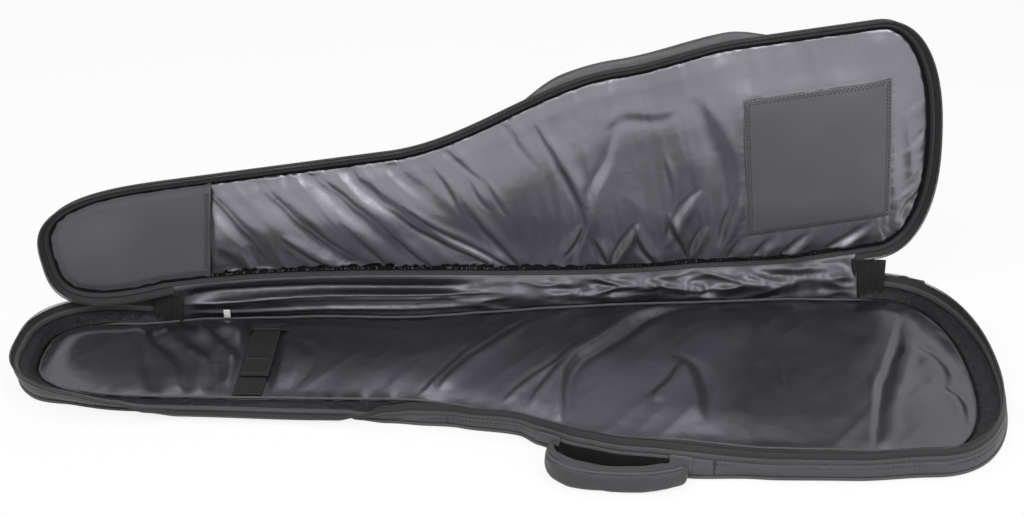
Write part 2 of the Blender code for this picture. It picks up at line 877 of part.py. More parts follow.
def makePocketSlider(parent, start, y, z):
    frame = empty("pocket_slider_place", Matrix.Translation((start + sliderLong, y, z)), parent)
    sliderMesh("pocket_slider", frame)
    hinge = empty("pocket_pull_hinge", Matrix.Translation((0, 0, pullAxisZ)), frame)
    pullMesh("pocket_pull", hinge)


def strapBand(name, x, yStart, yEnd, low, high, parent=None, tip=0.0):
    half = neckStrapWide / 2
    points = [(x - half, yEnd), (x + half, yEnd), (x + half, yStart), (x - half, yStart)]
    if tip:
        points = [(x - half, yEnd), (x - half, yStart + tip), (x - half + tip, yStart), (x + half - tip, yStart),
                  (x + half, yStart + tip), (x + half, yEnd)]
    return slab(name, "webbing", points, low, high, parent)


def makeNeckStrap():
    low = floorTop + clearance
    high = low + strapThick
    strapBand("neck_strap_pad", neckStrapX - strapPadShift, strapPadNearY, strapHingeY - clearance, low, high)
    upper = high + clearance + strapThick
    strapBand("neck_strap_anchor", neckStrapX, strapHingeY + clearance, strapFarY, low, upper)
    pivot = Vector((neckStrapX, strapHingeY, upper))  # on the upper face, so that the tip folds up clear
    hinge = empty("neck_strap_hinge", Matrix.Translation(pivot))
    strapBand("neck_strap_flap", 0.0, -strapTipLong, -clearance, -strapThick, 0.0, hinge, strapTipCut)


def handleEnds():
    """Middle of each sewn end, on the outer face of the near wall, and the frame of the line between them."""
    ends = []
    for x in (handleEndX, handleStartX):
        s = sAt("near", x)
        down = wallLong(s) * (topOf(s).z - handleAxisZ) / (topOf(s).z - footZ)
        ends.append(wallPoint(s, down, -seamGap - handleTabThick - handleEndGap))
    a, b = ends
    a.z = b.z = (a.z + b.z) / 2
    direction = (b - a).normalized()
    outward = Vector((-direction.y, direction.x, 0.0)).normalized()
    up = direction.cross(outward).normalized()
    frame = Matrix((direction, outward, up)).transposed().to_4x4()
    frame.translation = (a + b) / 2
    return frame, (b - a).length


def handlePath(span, count=26):
    """The grip's middle line in its hinge frame: out from one end and back, fuller towards the narrow end."""
    points = []
    for k in range(count + 1):
        t = k / count
        c = -math.cos(math.pi * t)
        arch = (1 - abs(c) ** 2.6) ** (1 / 1.9)
        points.append((span / 2 * c, handleReach * arch * (1 + handleLean * c), t))
    return points


def handleShare(t):
    """Thickness of the grip along its length: flat at the sewn ends, full in the middle."""
    return smooth(min(t, 1 - t) / 0.22)


def squarish(angle):
    """A round turned towards a square with rounded corners."""
    c, s = math.cos(angle), math.sin(angle)
    return math.copysign(abs(c) ** handleSquare, c), math.copysign(abs(s) ** handleSquare, s)


def makeHandle():
    frame, span = handleEnds()
    hinge = empty("handle_hinge", frame)
    drop = frame.translation.z - handleTall / 2 - handleRest
    path = handlePath(span)
    rings = []
    pipes = []
    for i, (x, out, t) in enumerate(path):
        before = path[max(i - 1, 0)]
        after = path[min(i + 1, len(path) - 1)]
        direction = Vector((after[0] - before[0], after[1] - before[1], 0.0)).normalized()
        side = Vector((direction.y, -direction.x, 0.0))
        share = handleShare(t)
        wide = mix(handleEndWide, handleDeep, share) / 2
        tall = mix(handleEndTall, handleTall, share) / 2
        z = -drop * smooth(out / handleReach)
        centre = Vector((x, out, z))
        ring = []
        for k in range(12):
            a, b = squarish(2 * math.pi * (k + 0.5) / 12)
            ring.append(centre + side * (wide * a) + Vector((0, 0, tall * b)))
        rings.append(ring)
        if 0.14 < t < 0.86:
            lift = Vector((0, 0, tall * handlePipingUp + handlePipingRadius + clearance))
            pipe = centre - side * (wide * handlePipingOut) + lift
            pipes.append(tubeRing(pipe, side, Vector((0, 0, 1)), handlePipingRadius))
    sweep("handle_grip", "nylon", rings, parent=hinge, smoothAngle=1.2)
    sweep("handle_piping", "binding", pipes, parent=hinge, smoothAngle=1.2)
    for name, x in (("left", handleStartX), ("right", handleEndX)):
        s = sAt("near", x)
        places = [s + handleTabWide * (k / 4 - 0.5) for k in range(5)]
        outer = -seamGap - handleTabThick
        tab = [stripRing(wallPoint, p, wallTop, wallLong(p) - mountFootGap, outer, -seamGap) for p in places]
        sweep("handle_mount_" + name, "webbing", tab)


def shoulderLine(t, side):
    x = mix(shoulderTopX, shoulderEndX, t)
    y = side * mix(shoulderTopY, shoulderEndY, smooth(t))
    return Vector((x, y))


def shoulderBand(side, start, end, wide, count=8, taper=0.0):
    left, right = [], []
    for k in range(count + 1):
        t = mix(start, end, k / count)
        p = shoulderLine(t, side)
        d = (shoulderLine(t + 0.01, side) - shoulderLine(t - 0.01, side)).normalized()
        edge = min(k, count - k) / count
        w = wide / 2 * (1 - taper * (1 - min(edge * 6, 1.0)))
        n = Vector((-d.y, d.x))
        left.append(tuple(p + n * w))
        right.append(tuple(p - n * w))
    return right + left[::-1]


def cutGroove(panel, name, points, depth):
    cutter = slab(name, "nylon", points, -0.002, depth)
    cutter.hide_render = True
    cutter.display_type = "WIRE"
    cut = panel.modifiers.new(name, "BOOLEAN")
    cut.operation = "DIFFERENCE"
    cut.object = cutter


def makeShoulderStraps(panel):
    depth = shoulderPadThick + 2 * clearance
    run = (shoulderLine(1, 1) - shoulderLine(0, 1)).length
    step = adjusterLong / run
    padEnd = shoulderPadShare
    anchorStart = 1 - anchorLong / run
    gap = clearance * 2 / run
    end = shoulderTopX - topAnchorGap
    half = topAnchorWide / 2
    points = [(end - topAnchorLong, -half), (end, -half), (end, half), (end - topAnchorLong, half)]
    wide = [(x + (grooveGap if x == end else -grooveGap), y + math.copysign(grooveGap, y)) for x, y in points]
    cutGroove(panel, "groove_top", wide, depth)
    slab("shoulder_top_anchor", "nylon", points, clearance, clearance + shoulderWebThick)
    low = clearance
    padHigh = low + shoulderPadThick
    webHigh = low + shoulderWebThick
    for name, side in (("left", 1), ("right", -1)):
        padGroove = shoulderBand(side, -0.004, padEnd + 0.002, shoulderPadWide + 2 * grooveGap)
        cutGroove(panel, "groove_pad_" + name, padGroove, depth)
        webGroove = shoulderBand(side, padEnd - 0.003, 1.004, anchorWide + 2 * grooveGap)
        cutGroove(panel, "groove_web_" + name, webGroove, depth)
        pad = shoulderBand(side, 0, padEnd, shoulderPadWide, taper=0.35)
        slab("shoulder_pad_" + name, "nylon", pad, low, padHigh)
        adjuster = shoulderBand(side, padEnd + gap, padEnd + step, adjusterWide, 2)
        slab("strap_adjuster_" + name, "plastic", adjuster, low, padHigh)
        web = shoulderBand(side, padEnd + step + gap, anchorStart, shoulderWebWide)
        slab("shoulder_web_" + name, "webbing", web, low, webHigh)
        anchor = shoulderBand(side, anchorStart + gap, 1, anchorWide, 2, taper=0.3)
        slab("shoulder_anchor_" + name, "nylon", anchor, low, webHigh)


def makeTag():
    s = sAt("far", tagX)
    at = offsetPoint(s, -tagIn, floorTop + clearance)
    t = planTangent(s)
    n = planNormal(s)
    verts = []
    for z in (0.0, tagTall):
        for a, b in ((-1, -1), (1, -1), (1, 1), (-1, 1)):
            verts.append(at + t * (a * tagWide / 2) + n * (b * tagThick / 2) + Vector((0, 0, z)))
    faces = [(0, 1, 2, 3), (4, 5, 6, 7), (0, 1, 5, 4), (1, 2, 6, 5), (2, 3, 7, 6), (3, 0, 4, 7)]
    place("seam_tag", "label", verts, faces)


def main():
    clearScene()
    panel = makeBack()
    makeShoulderStraps(panel)
    makeWalls()
    makeBaseRim()
    makeTabs()
    makeSliders()
    makeNeckStrap()
    makeTag()
    makeHandle()
    lid = empty("lid_hinge", openFrame)
    top = makeLid(lid)
    pocket, start, y, z = makePocket(lid, top)
    makePocketSlider(pocket, start, y, z)


main()
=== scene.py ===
import math

import bpy
import numpy as np
from mathutils import Matrix, Vector


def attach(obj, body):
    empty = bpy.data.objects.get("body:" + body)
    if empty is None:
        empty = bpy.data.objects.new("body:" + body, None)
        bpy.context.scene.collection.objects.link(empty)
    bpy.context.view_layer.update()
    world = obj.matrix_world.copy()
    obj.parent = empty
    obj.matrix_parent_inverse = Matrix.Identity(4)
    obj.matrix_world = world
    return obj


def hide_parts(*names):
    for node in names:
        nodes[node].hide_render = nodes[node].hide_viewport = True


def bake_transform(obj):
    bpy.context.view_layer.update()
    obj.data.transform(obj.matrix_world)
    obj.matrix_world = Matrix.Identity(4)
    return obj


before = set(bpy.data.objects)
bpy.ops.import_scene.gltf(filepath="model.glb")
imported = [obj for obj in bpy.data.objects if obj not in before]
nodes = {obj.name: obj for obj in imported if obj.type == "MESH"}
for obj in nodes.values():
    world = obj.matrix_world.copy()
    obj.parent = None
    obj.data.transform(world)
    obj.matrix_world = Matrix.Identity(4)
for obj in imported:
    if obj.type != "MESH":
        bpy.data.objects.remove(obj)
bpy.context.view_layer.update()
print("frame loaded:", len(nodes), "parts")

# plan outline, hinge and layer heights of the bag, the same as in the frame
bag = {
    "length": 1.22, "headRound": 0.197, "headPower": 2.95, "tailRound": 0.0913, "tailPower": 2.32,
    "far": {"head": 0.0986, "neck": 0.078, "shoulder": 0.1713, "bout": 0.1849,
            "neckEnd": -0.460, "boutStart": 0.3266, "swell": (0.250, 0.420)},
    "near": {"head": 0.0995, "neck": 0.0939, "shoulder": 0.168, "bout": 0.1851,
             "neckEnd": -0.1274, "boutStart": 0.1805, "swell": (0.1805, 0.340)},
    "hingeMid": (-0.010, 0.1444, 0.040), "hingeSkew": 7, "lidOpen": 86.1,
    "headTabX": -0.451, "boutTabX": 0.495, "waistSeamX": -0.060, "boutSeamX": 0.2665,
    "footZ": 0.0058, "hingeFoot": 0.0032, "floorTop": 0.0107, "gap": 0.0003, "cloth": 0.0008,
    "lidRimIn": 0.012, "lidRimRise": 0.017,
    "hingeFootFlare": [(-0.451, 0.004), (-0.410, 0.0), (0.400, 0.0), (0.495, 0.011)],
    "farFloor": [(-0.520, 0.0), (-0.400, 0.021), (-0.280, 0.020), (-0.110, 0.0)],
}
# the wall in mm: side and x, how far its foot and its rim stand out, and how high the rim is
wallStops = [
    ("far", -451, 20, 26.5, 40), ("tip", -610, 25, 31.5, 40), ("near", -585, 24.5, 37, 40),
    ("near", -540, 14, 43, 37.5), ("near", -486, 16, 38, 26.5), ("near", -445, 16, 40, 14),
    ("near", -405, 6, 37, 7), ("near", -240, 4, 40, 6), ("near", -205, 14, 41, 6.8),
    ("near", -180, 28, 44, 14), ("near", -145, 34, 43, 31), ("near", -100, 36, 38.5, 35),
    ("near", -40, 29, 35, 37), ("near", 30, 18.6, 25.2, 39), ("near", 60, 29, 28, 40),
    ("near", 110, 48, 31.5, 40), ("near", 157, 54, 35.8, 40), ("near", 230, 59.5, 39.6, 40),
    ("near", 317, 46.7, 41.5, 40), ("near", 424, 44.8, 40.5, 40), ("near", 530, 34, 28, 40),
    ("tip", 610, 38, 31, 40), ("far", 495, 14, 30, 40),
]
rimShape = {"coil": 0.00175, "tape": 0.008, "binding": 0.007, "seam": 0.0006}  # from the rim's edge down
coilDown = rimShape["coil"] * 2
tapeDown = coilDown + rimShape["tape"]
bindingDown = tapeDown + rimShape["seam"] + rimShape["binding"]
wallDown = bindingDown + rimShape["seam"]
lattice = np.random.default_rng(11).uniform(-1, 1, (96, 96, 12))
upward = np.array([0, 0, 1.0])


def ease(t):
    t = np.clip(t, 0, 1)
    return t * t * (3 - 2 * t)


def mix(a, b, t):
    return a + (b - a) * t


def unit(v):
    return v / np.maximum(np.linalg.norm(v, axis=-1, keepdims=True), 1e-12)


def xyz(*parts):
    return np.stack(np.broadcast_arrays(*parts), -1)


def hump(d, wide):
    return np.exp(-(d / wide) ** 2)


def inside(s, soft, lastSoft=None):  # 0 at the first and last station, 1 between them
    return ease((s - s[0]) / soft) * ease((s[-1] - s) / (lastSoft or soft))


def runOf(path):  # length along a path at each of its points
    return np.concatenate([[0], np.cumsum(np.linalg.norm(np.diff(path, axis=0), axis=-1))])


def softRound(count, power=1.0, start=0.0):  # once round a section, squarer with a lower power
    turns = np.linspace(0, 2 * np.pi, count, endpoint=False) + start
    return [np.sign(k) * abs(k) ** power for k in (np.cos(turns), np.sin(turns))]


def betweenStops(x, stops):
    xs, values = np.array(stops, float).T
    i = np.clip(np.searchsorted(xs, x) - 1, 0, len(xs) - 2)
    return mix(values[i], values[i + 1], ease((x - xs[i]) / (xs[i + 1] - xs[i])))


def wander(a, b, layer=0):  # smooth random value from -1 to 1 over a plane
    ia, ib = np.floor(a).astype(int), np.floor(b).astype(int)
    fa, fb = ease(a - ia), ease(b - ib)
    low, high = (mix(lattice[ia % 96, k % 96, layer], lattice[(ia + 1) % 96, k % 96, layer], fa)
                 for k in (ib, ib + 1))
    return mix(low, high, fb)


def crests(a, b, layer):  # sharp tops and round valleys
    return 1 - abs(wander(a, b, layer)) * 2


def halfWidth(x, side):
    half = bag["length"] / 2
    neck = mix(side["head"], side["neck"], np.minimum((x + half) / (side["neckEnd"] + half), 1))
    start, end = side["swell"]
    body = mix(side["shoulder"], side["bout"], ease((x - start) / (end - start)))
    width = mix(neck, body, ease((x - side["neckEnd"]) / (side["boutStart"] - side["neckEnd"])))
    for depth, end in ((x + half, "head"), (half - x, "tail")):
        power = bag[end + "Power"]
        width = width * (1 - np.clip(1 - depth / bag[end + "Round"], 0, 1) ** power) ** (1 / power)
    return width


turnCount = 1600
turn = np.linspace(0, np.pi, turnCount + 1)
nearX, farX = -bag["length"] / 2 * np.cos(turn[:-1]), bag["length"] / 2 * np.cos(turn)
outlineX = np.concatenate([nearX, farX])
outlineY = np.concatenate([-halfWidth(nearX, bag["near"]), halfWidth(farX, bag["far"])])
outlineS = runOf(xyz(outlineX, outlineY))
total = outlineS[-1]


def sAt(side, x):
    if side == "tip":
        return 0.0 if x < 0 else outlineS[turnCount]
    rows = slice(0, turnCount) if side == "near" else slice(turnCount, None)
    return outlineS[rows][np.argmin(abs(outlineX[rows] - x))]


def ringStations(step):
    return np.linspace(0, total, int(total / step), endpoint=False)


def stationsAlong(start, end, step):
    return np.linspace(start, end, max(int((end - start) / step), 3) + 1)


def planPoint(s):
    s = np.mod(s, total)
    return xyz(np.interp(s, outlineS, outlineX), np.interp(s, outlineS, outlineY), 0.0)


def planTangent(s):
    return unit(planPoint(s + 0.004) - planPoint(s - 0.004))


def offsetPoint(s, out, z=0.0):
    t = planTangent(s)
    p = planPoint(s) + xyz(t[..., 1], -t[..., 0], 0.0) * np.asarray(out)[..., None]
    p[..., 2] = z
    return p


headTabS, boutTabS = sAt("far", bag["headTabX"]), sAt("far", bag["boutTabX"])
zipStart = headTabS - total
waistS, boutS = sAt("near", bag["waistSeamX"]), sAt("near", bag["boutSeamX"])
wallRows = [[sAt(side, x / 1000) - (total if side == "far" and x < 0 else 0)] + [v / 1000 for v in row]
            for side, x, *row in wallStops]
hingeMid = np.array(bag["hingeMid"])
skew = math.radians(bag["hingeSkew"])
hingeAxis = np.array([math.cos(skew), math.sin(skew), 0])
closedFrame = Matrix.Translation(Vector(hingeMid)) @ Matrix.Rotation(skew, 4, "Z")
openTurn = np.array(closedFrame @ Matrix.Rotation(-math.radians(bag["lidOpen"]), 4, "X")
                    @ closedFrame.inverted())
lidInward, lidAcross = -openTurn[:3, 2], openTurn[:3, 1]


def openLid(p):  # from where a point is with the lid closed to where it is at rest
    return p @ openTurn[:3, :3].T + openTurn[:3, 3]


def wallStance(s):
    s = np.mod(s, total)
    s = np.where(s <= boutTabS + 0.002, s, s - total)
    return [betweenStops(s, [(row[0], row[k]) for row in wallRows]) for k in (1, 2, 3)]


def onHinge(s):
    s = np.mod(s, total)
    return (s > boutTabS) & (s < headTabS)


def lidSlant(s, along, inward):  # a point of the lid's rim: along its slope, and in from its outer face
    size = math.hypot(bag["lidRimIn"], bag["lidRimRise"])
    upOut, upZ = -bag["lidRimIn"] / size, bag["lidRimRise"] / size
    return openLid(offsetPoint(s, upOut * along - upZ * inward, hingeMid[2] + upZ * along + upOut * inward))


def floorOut(s):
    p = planPoint(s)
    return np.where(p[..., 1] > 0, betweenStops(p[..., 0], bag["farFloor"]), 0.0)


def footOut(s):
    hinge = floorOut(s) + bag["hingeFoot"] + betweenStops(planPoint(s)[..., 0], bag["hingeFootFlare"])
    return np.where(onHinge(s), hinge, wallStance(s)[0])


def wallFoot(s):
    return offsetPoint(s, footOut(s), bag["footZ"])


def topOf(s):
    _, rim, top = wallStance(s)
    opened = lidSlant(s, tapeDown + bag["gap"], 0.0)
    axisPoint = hingeMid + hingeAxis * ((opened - hingeMid) @ hingeAxis)[..., None]
    held = opened - bag["cloth"] * unit(opened - axisPoint)
    return np.where(onHinge(s)[..., None], held, offsetPoint(s, rim, top))


def wallLong(s):
    return np.linalg.norm(wallFoot(s) - topOf(s), axis=-1)


def wallPoint(s, down, inward):  # down from the wall's upper edge, inward from its outer face
    top = topOf(s)
    run = unit(wallFoot(s) - top)
    into = unit(np.cross(-run, planTangent(s)))
    return top + run * np.asarray(down)[..., None] + into * np.asarray(inward)[..., None]


def smoothPath(flat, count=24):
    p = np.array(flat, float).reshape(-1, 2) / 1000
    p = np.vstack([2 * p[0] - p[1], p, 2 * p[-1] - p[-2]])
    u = np.linspace(0, len(p) - 3 - 1e-9, count)
    t = (u % 1)[:, None]
    a, b, c, d = (p[u.astype(int) + k] for k in range(4))
    return 0.5 * (2 * b + (c - a) * t + (2 * a - 5 * b + 4 * c - d) * t ** 2
                  + (3 * b - a - 3 * c + d) * t ** 3)


# a laid fold: how far and over what length its line wavers, in m; then shares of its width and height: how
# narrow its ends are, the sides of a tuck and of a ridge, a tuck's line and shoulders, and a ridge's valley
foldForm = {"waver": 0.0030, "waverLong": 0.035, "endWide": 0.40, "tuck": (1.9, 1.1), "ridge": (0.75, 1.55),
            "tuckLine": (0.7, -0.2, 0.42), "shoulder": (0.16, 2.1, 1.1), "valley": (1.9, 0.9)}


def foldField(x, y, folds):  # height of laid folds; one with a rise below 0 is a tuck
    height = np.zeros_like(x)
    form = foldForm
    for path, wide, rise, dip in folds:
        line = smoothPath(path)
        (lowX, lowY), (highX, highY) = line.min(0) - wide / 200, line.max(0) + wide / 200
        near = (x > lowX) & (x < highX) & (y > lowY) & (y < highY)
        at = np.stack([x[near], y[near]])
        px, py = at + form["waver"] * np.stack([wander(*(at / form["waverLong"]), layer) for layer in (7, 6)])
        best, place, turned = np.full(px.shape, 9.0), np.zeros(px.shape), np.zeros(px.shape)
        for k in range(len(line) - 1):
            (ax, ay), (dx, dy) = line[k], line[k + 1] - line[k]
            q = np.clip(((px - ax) * dx + (py - ay) * dy) / (dx * dx + dy * dy), 0, 1)
            ox, oy = px - ax - dx * q, py - ay - dy * q
            far = np.hypot(ox, oy)
            closer = far < best
            best = np.where(closer, far, best)
            place = np.where(closer, (k + q) / (len(line) - 1), place)
            turned = np.where(closer, np.sign(dx * oy - dy * ox), turned)
        d = best * turned
        bend = np.sin(np.pi * place)
        w = wide / 1000 * mix(form["endWide"], 1, bend ** 0.7)
        w = w * np.where(d > 0, *form["tuck" if rise < 0 else "ridge"])
        if rise < 0:
            depth, shift, thin = form["tuckLine"]
            share, away, spread = form["shoulder"]
            section = hump(d, w) - dip * depth * hump(d - shift * w, thin * w)
            section -= share * hump(abs(d) - away * w, spread * w)
        else:
            away, spread = form["valley"]
            section = hump(d, w) - dip * hump(d - away * w, spread * w) * (d > 0)
        height[near] += rise / 1000 * bend ** 0.9 * section
    return height


# materials: shared effects first, then the finishes

def plug(made, inputs):  # links a socket, or sets a value
    for key, value in inputs.items():
        if isinstance(value, bpy.types.NodeSocket):
            made.id_data.links.new(value, made.inputs[key])
        else:
            made.inputs[key].default_value = value


def node(tree, kind, inputs=(), out=0, **settings):
    made = tree.nodes.new("ShaderNode" + kind)
    for key, value in settings.items():
        setattr(made, key, value)
    plug(made, dict(inputs))
    return made.outputs if out is None else made.outputs[out]


def calc(tree, operation, *values):
    return node(tree, "Math", enumerate(values), operation=operation)


def newGroup(name, inputs, outputs):
    tree = bpy.data.node_groups.new(name, "ShaderNodeTree")
    for socket, value in inputs.items():
        made = tree.interface.new_socket(socket, in_out="INPUT", socket_type="NodeSocketFloat")
        made.default_value = value
    for socket in outputs:
        tree.interface.new_socket(socket, in_out="OUTPUT", socket_type="NodeSocketFloat")
    return tree, tree.nodes.new("NodeGroupInput").outputs, tree.nodes.new("NodeGroupOutput")


def weaveGroup():  # threads over and under each other, in the cloth's own flat measure
    tree, given, out = newGroup("clothWeave", {"Thread": 0.0009, "Uneven": 0.3}, ("Height", "Tone"))
    place = node(tree, "TexCoord", out="UV")
    parts = node(tree, "SeparateXYZ", {0: place}, None)
    wobble = node(tree, "TexNoise", {"Vector": place, "Scale": 140.0, "Detail": 2.0})
    shift = calc(tree, "MULTIPLY", calc(tree, "SUBTRACT", wobble, 0.5), given["Uneven"])
    ways = [calc(tree, "ADD", calc(tree, "DIVIDE", parts[k], given["Thread"]), shift) for k in (0, 1)]
    warp, weft = (calc(tree, "ABSOLUTE", calc(tree, "SINE", calc(tree, "MULTIPLY", way, math.pi)))
                  for way in ways)
    square = calc(tree, "ABSOLUTE", calc(tree, "ADD", *(calc(tree, "FLOOR", way) for way in ways)))
    over = calc(tree, "GREATER_THAN", calc(tree, "MODULO", square, 2.0), 0.5)
    height = node(tree, "Mix", {0: over, 2: warp, 3: weft}, data_type="FLOAT")
    plug(out, {"Height": height, "Tone": node(tree, "MapRange", {0: height, 3: 0.86, 4: 1.06})})
    return tree


def creaseGroup():  # small soft crumples and a slow change of tone over the cloth
    tree, given, out = newGroup("softCrease", {"Size": 0.02, "Sharpness": 0.5}, ("Height", "Tone"))
    place = node(tree, "TexCoord", out="Object")
    scale = calc(tree, "DIVIDE", 1.0, given["Size"])
    bent = node(tree, "TexNoise",
                {"Vector": place, "Scale": scale, "Detail": 4.0, "Roughness": given["Sharpness"]})
    bent = calc(tree, "ABSOLUTE", calc(tree, "MULTIPLY", calc(tree, "SUBTRACT", bent, 0.5), 2.6))
    slow = node(tree, "TexNoise", {"Vector": place, "Scale": 7.0, "Detail": 2.0})
    plug(out, {"Height": calc(tree, "SUBTRACT", 1.0, bent),
               "Tone": node(tree, "MapRange", {0: slow, 1: 0.3, 2: 0.7, 3: 0.88, 4: 1.12})})
    return tree


def wearGroup():  # rubbed edges, and lint caught in the cloth
    tree, given, out = newGroup("rubAndLint", {"Rub": 0.5, "Lint": 0.3}, ("Rubbed", "Lint"))
    edge = node(tree, "NewGeometry", out="Pointiness")
    place = node(tree, "TexCoord", out="Object")
    patchy = node(tree, "TexNoise", {"Vector": place, "Scale": 90.0, "Detail": 3.0})
    rubbed = calc(tree, "MULTIPLY", node(tree, "MapRange", {0: edge, 1: 0.515, 2: 0.56}), patchy)
    specks = node(tree, "TexVoronoi", {"Vector": place, "Scale": 55.0}, feature="F1")
    dots = node(tree, "MapRange", {0: specks, 1: 0.028, 2: 0.012})
    plug(out, {"Rubbed": calc(tree, "MULTIPLY", rubbed, given["Rub"]),
               "Lint": calc(tree, "MULTIPLY", dots, given["Lint"])})
    return tree


effects = {"weave": weaveGroup(), "crease": creaseGroup(), "wear": wearGroup()}

# thread and crease in mm; weave and fold are bump strengths
finishKeys = "slot color rough sheen thread weave crease fold rub lint metal gloss".split()
finishes = {
    "lidSatin": ("satin_lining", (0.245, 0.242, 0.268), 0.4, 0, 0.5, 0.03, 34, 0.1, 0, 0, 0.92, 0.5),
    # a darker copy of the lid's satin: painted shade on the tray floor
    "shadedTraySatin": ("satin_lining", (0.112, 0.11, 0.124), 0.37, 0, 0.5, 0.03, 40, 0.08, 0, 0, 0.92, 0.5),
    # a darker copy of the tray's satin: painted shade on the hinge lining under the lid
    "shadedHingeSatin": ("satin_lining", (0.082, 0.08, 0.091), 0.4, 0, 0.5, 0.03, 20, 0.08, 0, 0, 0.9, 0.5),
    # a near-black, dull copy of the satin: painted shade on the walls' inner faces
    "shadedWallSatin": ("satin_lining", (0.016, 0.0155, 0.018), 0.46, 0, 0.5, 0.04, 12, 0.45, 0, 0, 0.1, 0.15),
    "mattLining": ("matt_lining", (0.096, 0.095, 0.107), 0.6, 0.12, 1.2, 0.42, 50, 0.12, 0, 0.16, 0, 0.5),
    "outerCloth": ("outer_nylon", (0.05, 0.049, 0.055), 0.56, 0.14, 1.3, 0.55, 30, 0.28, 0.4, 0.15, 0, 0.5),
    "bindingTape": ("binding", (0.05, 0.05, 0.054), 0.52, 0.1, 1.1, 0.5, 12, 0.14, 0.4, 0.1, 0, 0.4),
    "lidBinding": ("binding", (0.03, 0.03, 0.033), 0.56, 0.05, 1.1, 0.5, 12, 0.14, 0.4, 0.1, 0, 0.3),
    "zipTape": ("zip_tape", (0.03, 0.03, 0.033), 0.68, 0.04, 0.9, 0.45, 20, 0.05, 0.1, 0.05, 0, 0.3),
    # near-black and dull: the cloth of painted shade, in the lid seam's trough and behind the handle
    "shadeCloth": ("binding", (0.008, 0.008, 0.009), 0.8, 0, 0.8, 0.35, 10, 0.2, 0, 0, 0, 0.08),
    "endTape": ("zip_tape", (0.016, 0.016, 0.017), 0.7, 0.04, 0.9, 0.5, 6, 0.5, 0.1, 0.3, 0, 0.2),
    "zipCoil": ("zip_coil", (0.034, 0.034, 0.036), 0.38, 0, 1.2, 0.05, 10, 0.02, 0.2, 0, 0, 0.5),
    "webbing": ("webbing", (0.01, 0.01, 0.011), 0.8, 0, 1.8, 0.6, 20, 0.05, 0.3, 0.2, 0, 0.3),
    "gripCloth": ("outer_nylon", (0.036, 0.036, 0.04), 0.58, 0.1, 1.2, 0.45, 20, 0.3, 0.4, 0.2, 0, 0.5),
    "darkMetal": ("dark_metal", (0.16, 0.16, 0.17), 0.34, 0, 2, 0, 4, 0.03, 0.9, 0, 1, 0.5),
    "blackPlastic": ("black_plastic", (0.018, 0.018, 0.019), 0.36, 0, 2, 0, 3, 0.06, 0.5, 0, 0, 0.5),
    "blankTag": ("blank_tag", (0.93, 0.93, 0.93), 0.6, 0.1, 0.5, 0.2, 6, 0.1, 0, 0, 0, 0.5),
    "thread": ("webbing", (0.115, 0.113, 0.122), 0.55, 0.1, 0.4, 0.2, 4, 0.05, 0, 0, 0, 0.5),
    "frayed": ("satin_lining", (0.3, 0.296, 0.315), 0.6, 0.1, 0.4, 0.2, 4, 0.05, 0, 0, 0, 0.5),
    "darkThread": ("binding", (0.014, 0.014, 0.015), 0.55, 0.1, 0.4, 0.2, 4, 0.05, 0, 0, 0, 0.5),
}
lintColor = (0.35, 0.35, 0.36, 1)


def makeFinish(name, want):
    made = bpy.data.materials.new(name)
    made.use_nodes = True
    tree = made.node_tree
    color = (*want["color"], 1)
    made.diffuse_color = color
    weave = node(tree, "Group", {"Thread": want["thread"] / 1000}, None, node_tree=effects["weave"])
    crease = node(tree, "Group", {"Size": want["crease"] / 1000}, None, node_tree=effects["crease"])
    wear = node(tree, "Group", {"Rub": want["rub"], "Lint": want["lint"]}, None, node_tree=effects["wear"])
    toned = calc(tree, "MULTIPLY", weave["Tone"], crease["Tone"])
    base = node(tree, "Mix", {0: 1.0, 6: color, 7: toned}, 2, data_type="RGBA", blend_type="MULTIPLY")
    lighter = (*(min(c * 2.6 + 0.02, 1) for c in want["color"]), 1)
    rubbed = node(tree, "Mix", {0: wear["Rubbed"], 6: base, 7: lighter}, 2, data_type="RGBA")
    soft = node(tree, "Bump", {"Strength": want["fold"], "Distance": 0.004, "Height": crease["Height"]})
    fine = {"Strength": want["weave"], "Distance": 0.0004, "Height": weave["Height"], "Normal": soft}
    plug(tree.nodes["Principled BSDF"], {
        "Base Color": node(tree, "Mix", {0: wear["Lint"], 6: rubbed, 7: lintColor}, 2, data_type="RGBA"),
        "Roughness": node(tree, "MapRange",
                          {0: crease["Height"], 3: want["rough"] + 0.06, 4: want["rough"] - 0.05}),
        "Metallic": want["metal"], "Specular IOR Level": want["gloss"],
        "Sheen Weight": want["sheen"], "Sheen Roughness": 0.45, "Normal": node(tree, "Bump", fine)})
    return made


looks = {name: makeFinish(name, dict(zip(finishKeys, row))) for name, row in finishes.items()}
print("finishes made:", len(looks))


# building blocks

def newObject(name, data):
    made = bpy.data.objects.new(name, data)
    bpy.context.scene.collection.objects.link(made)
    return made


def newMesh(name, verts, faces, material):
    mesh = bpy.data.meshes.new(name)
    mesh.from_pydata(verts, [], faces)
    mesh.materials.append(material)
    return mesh


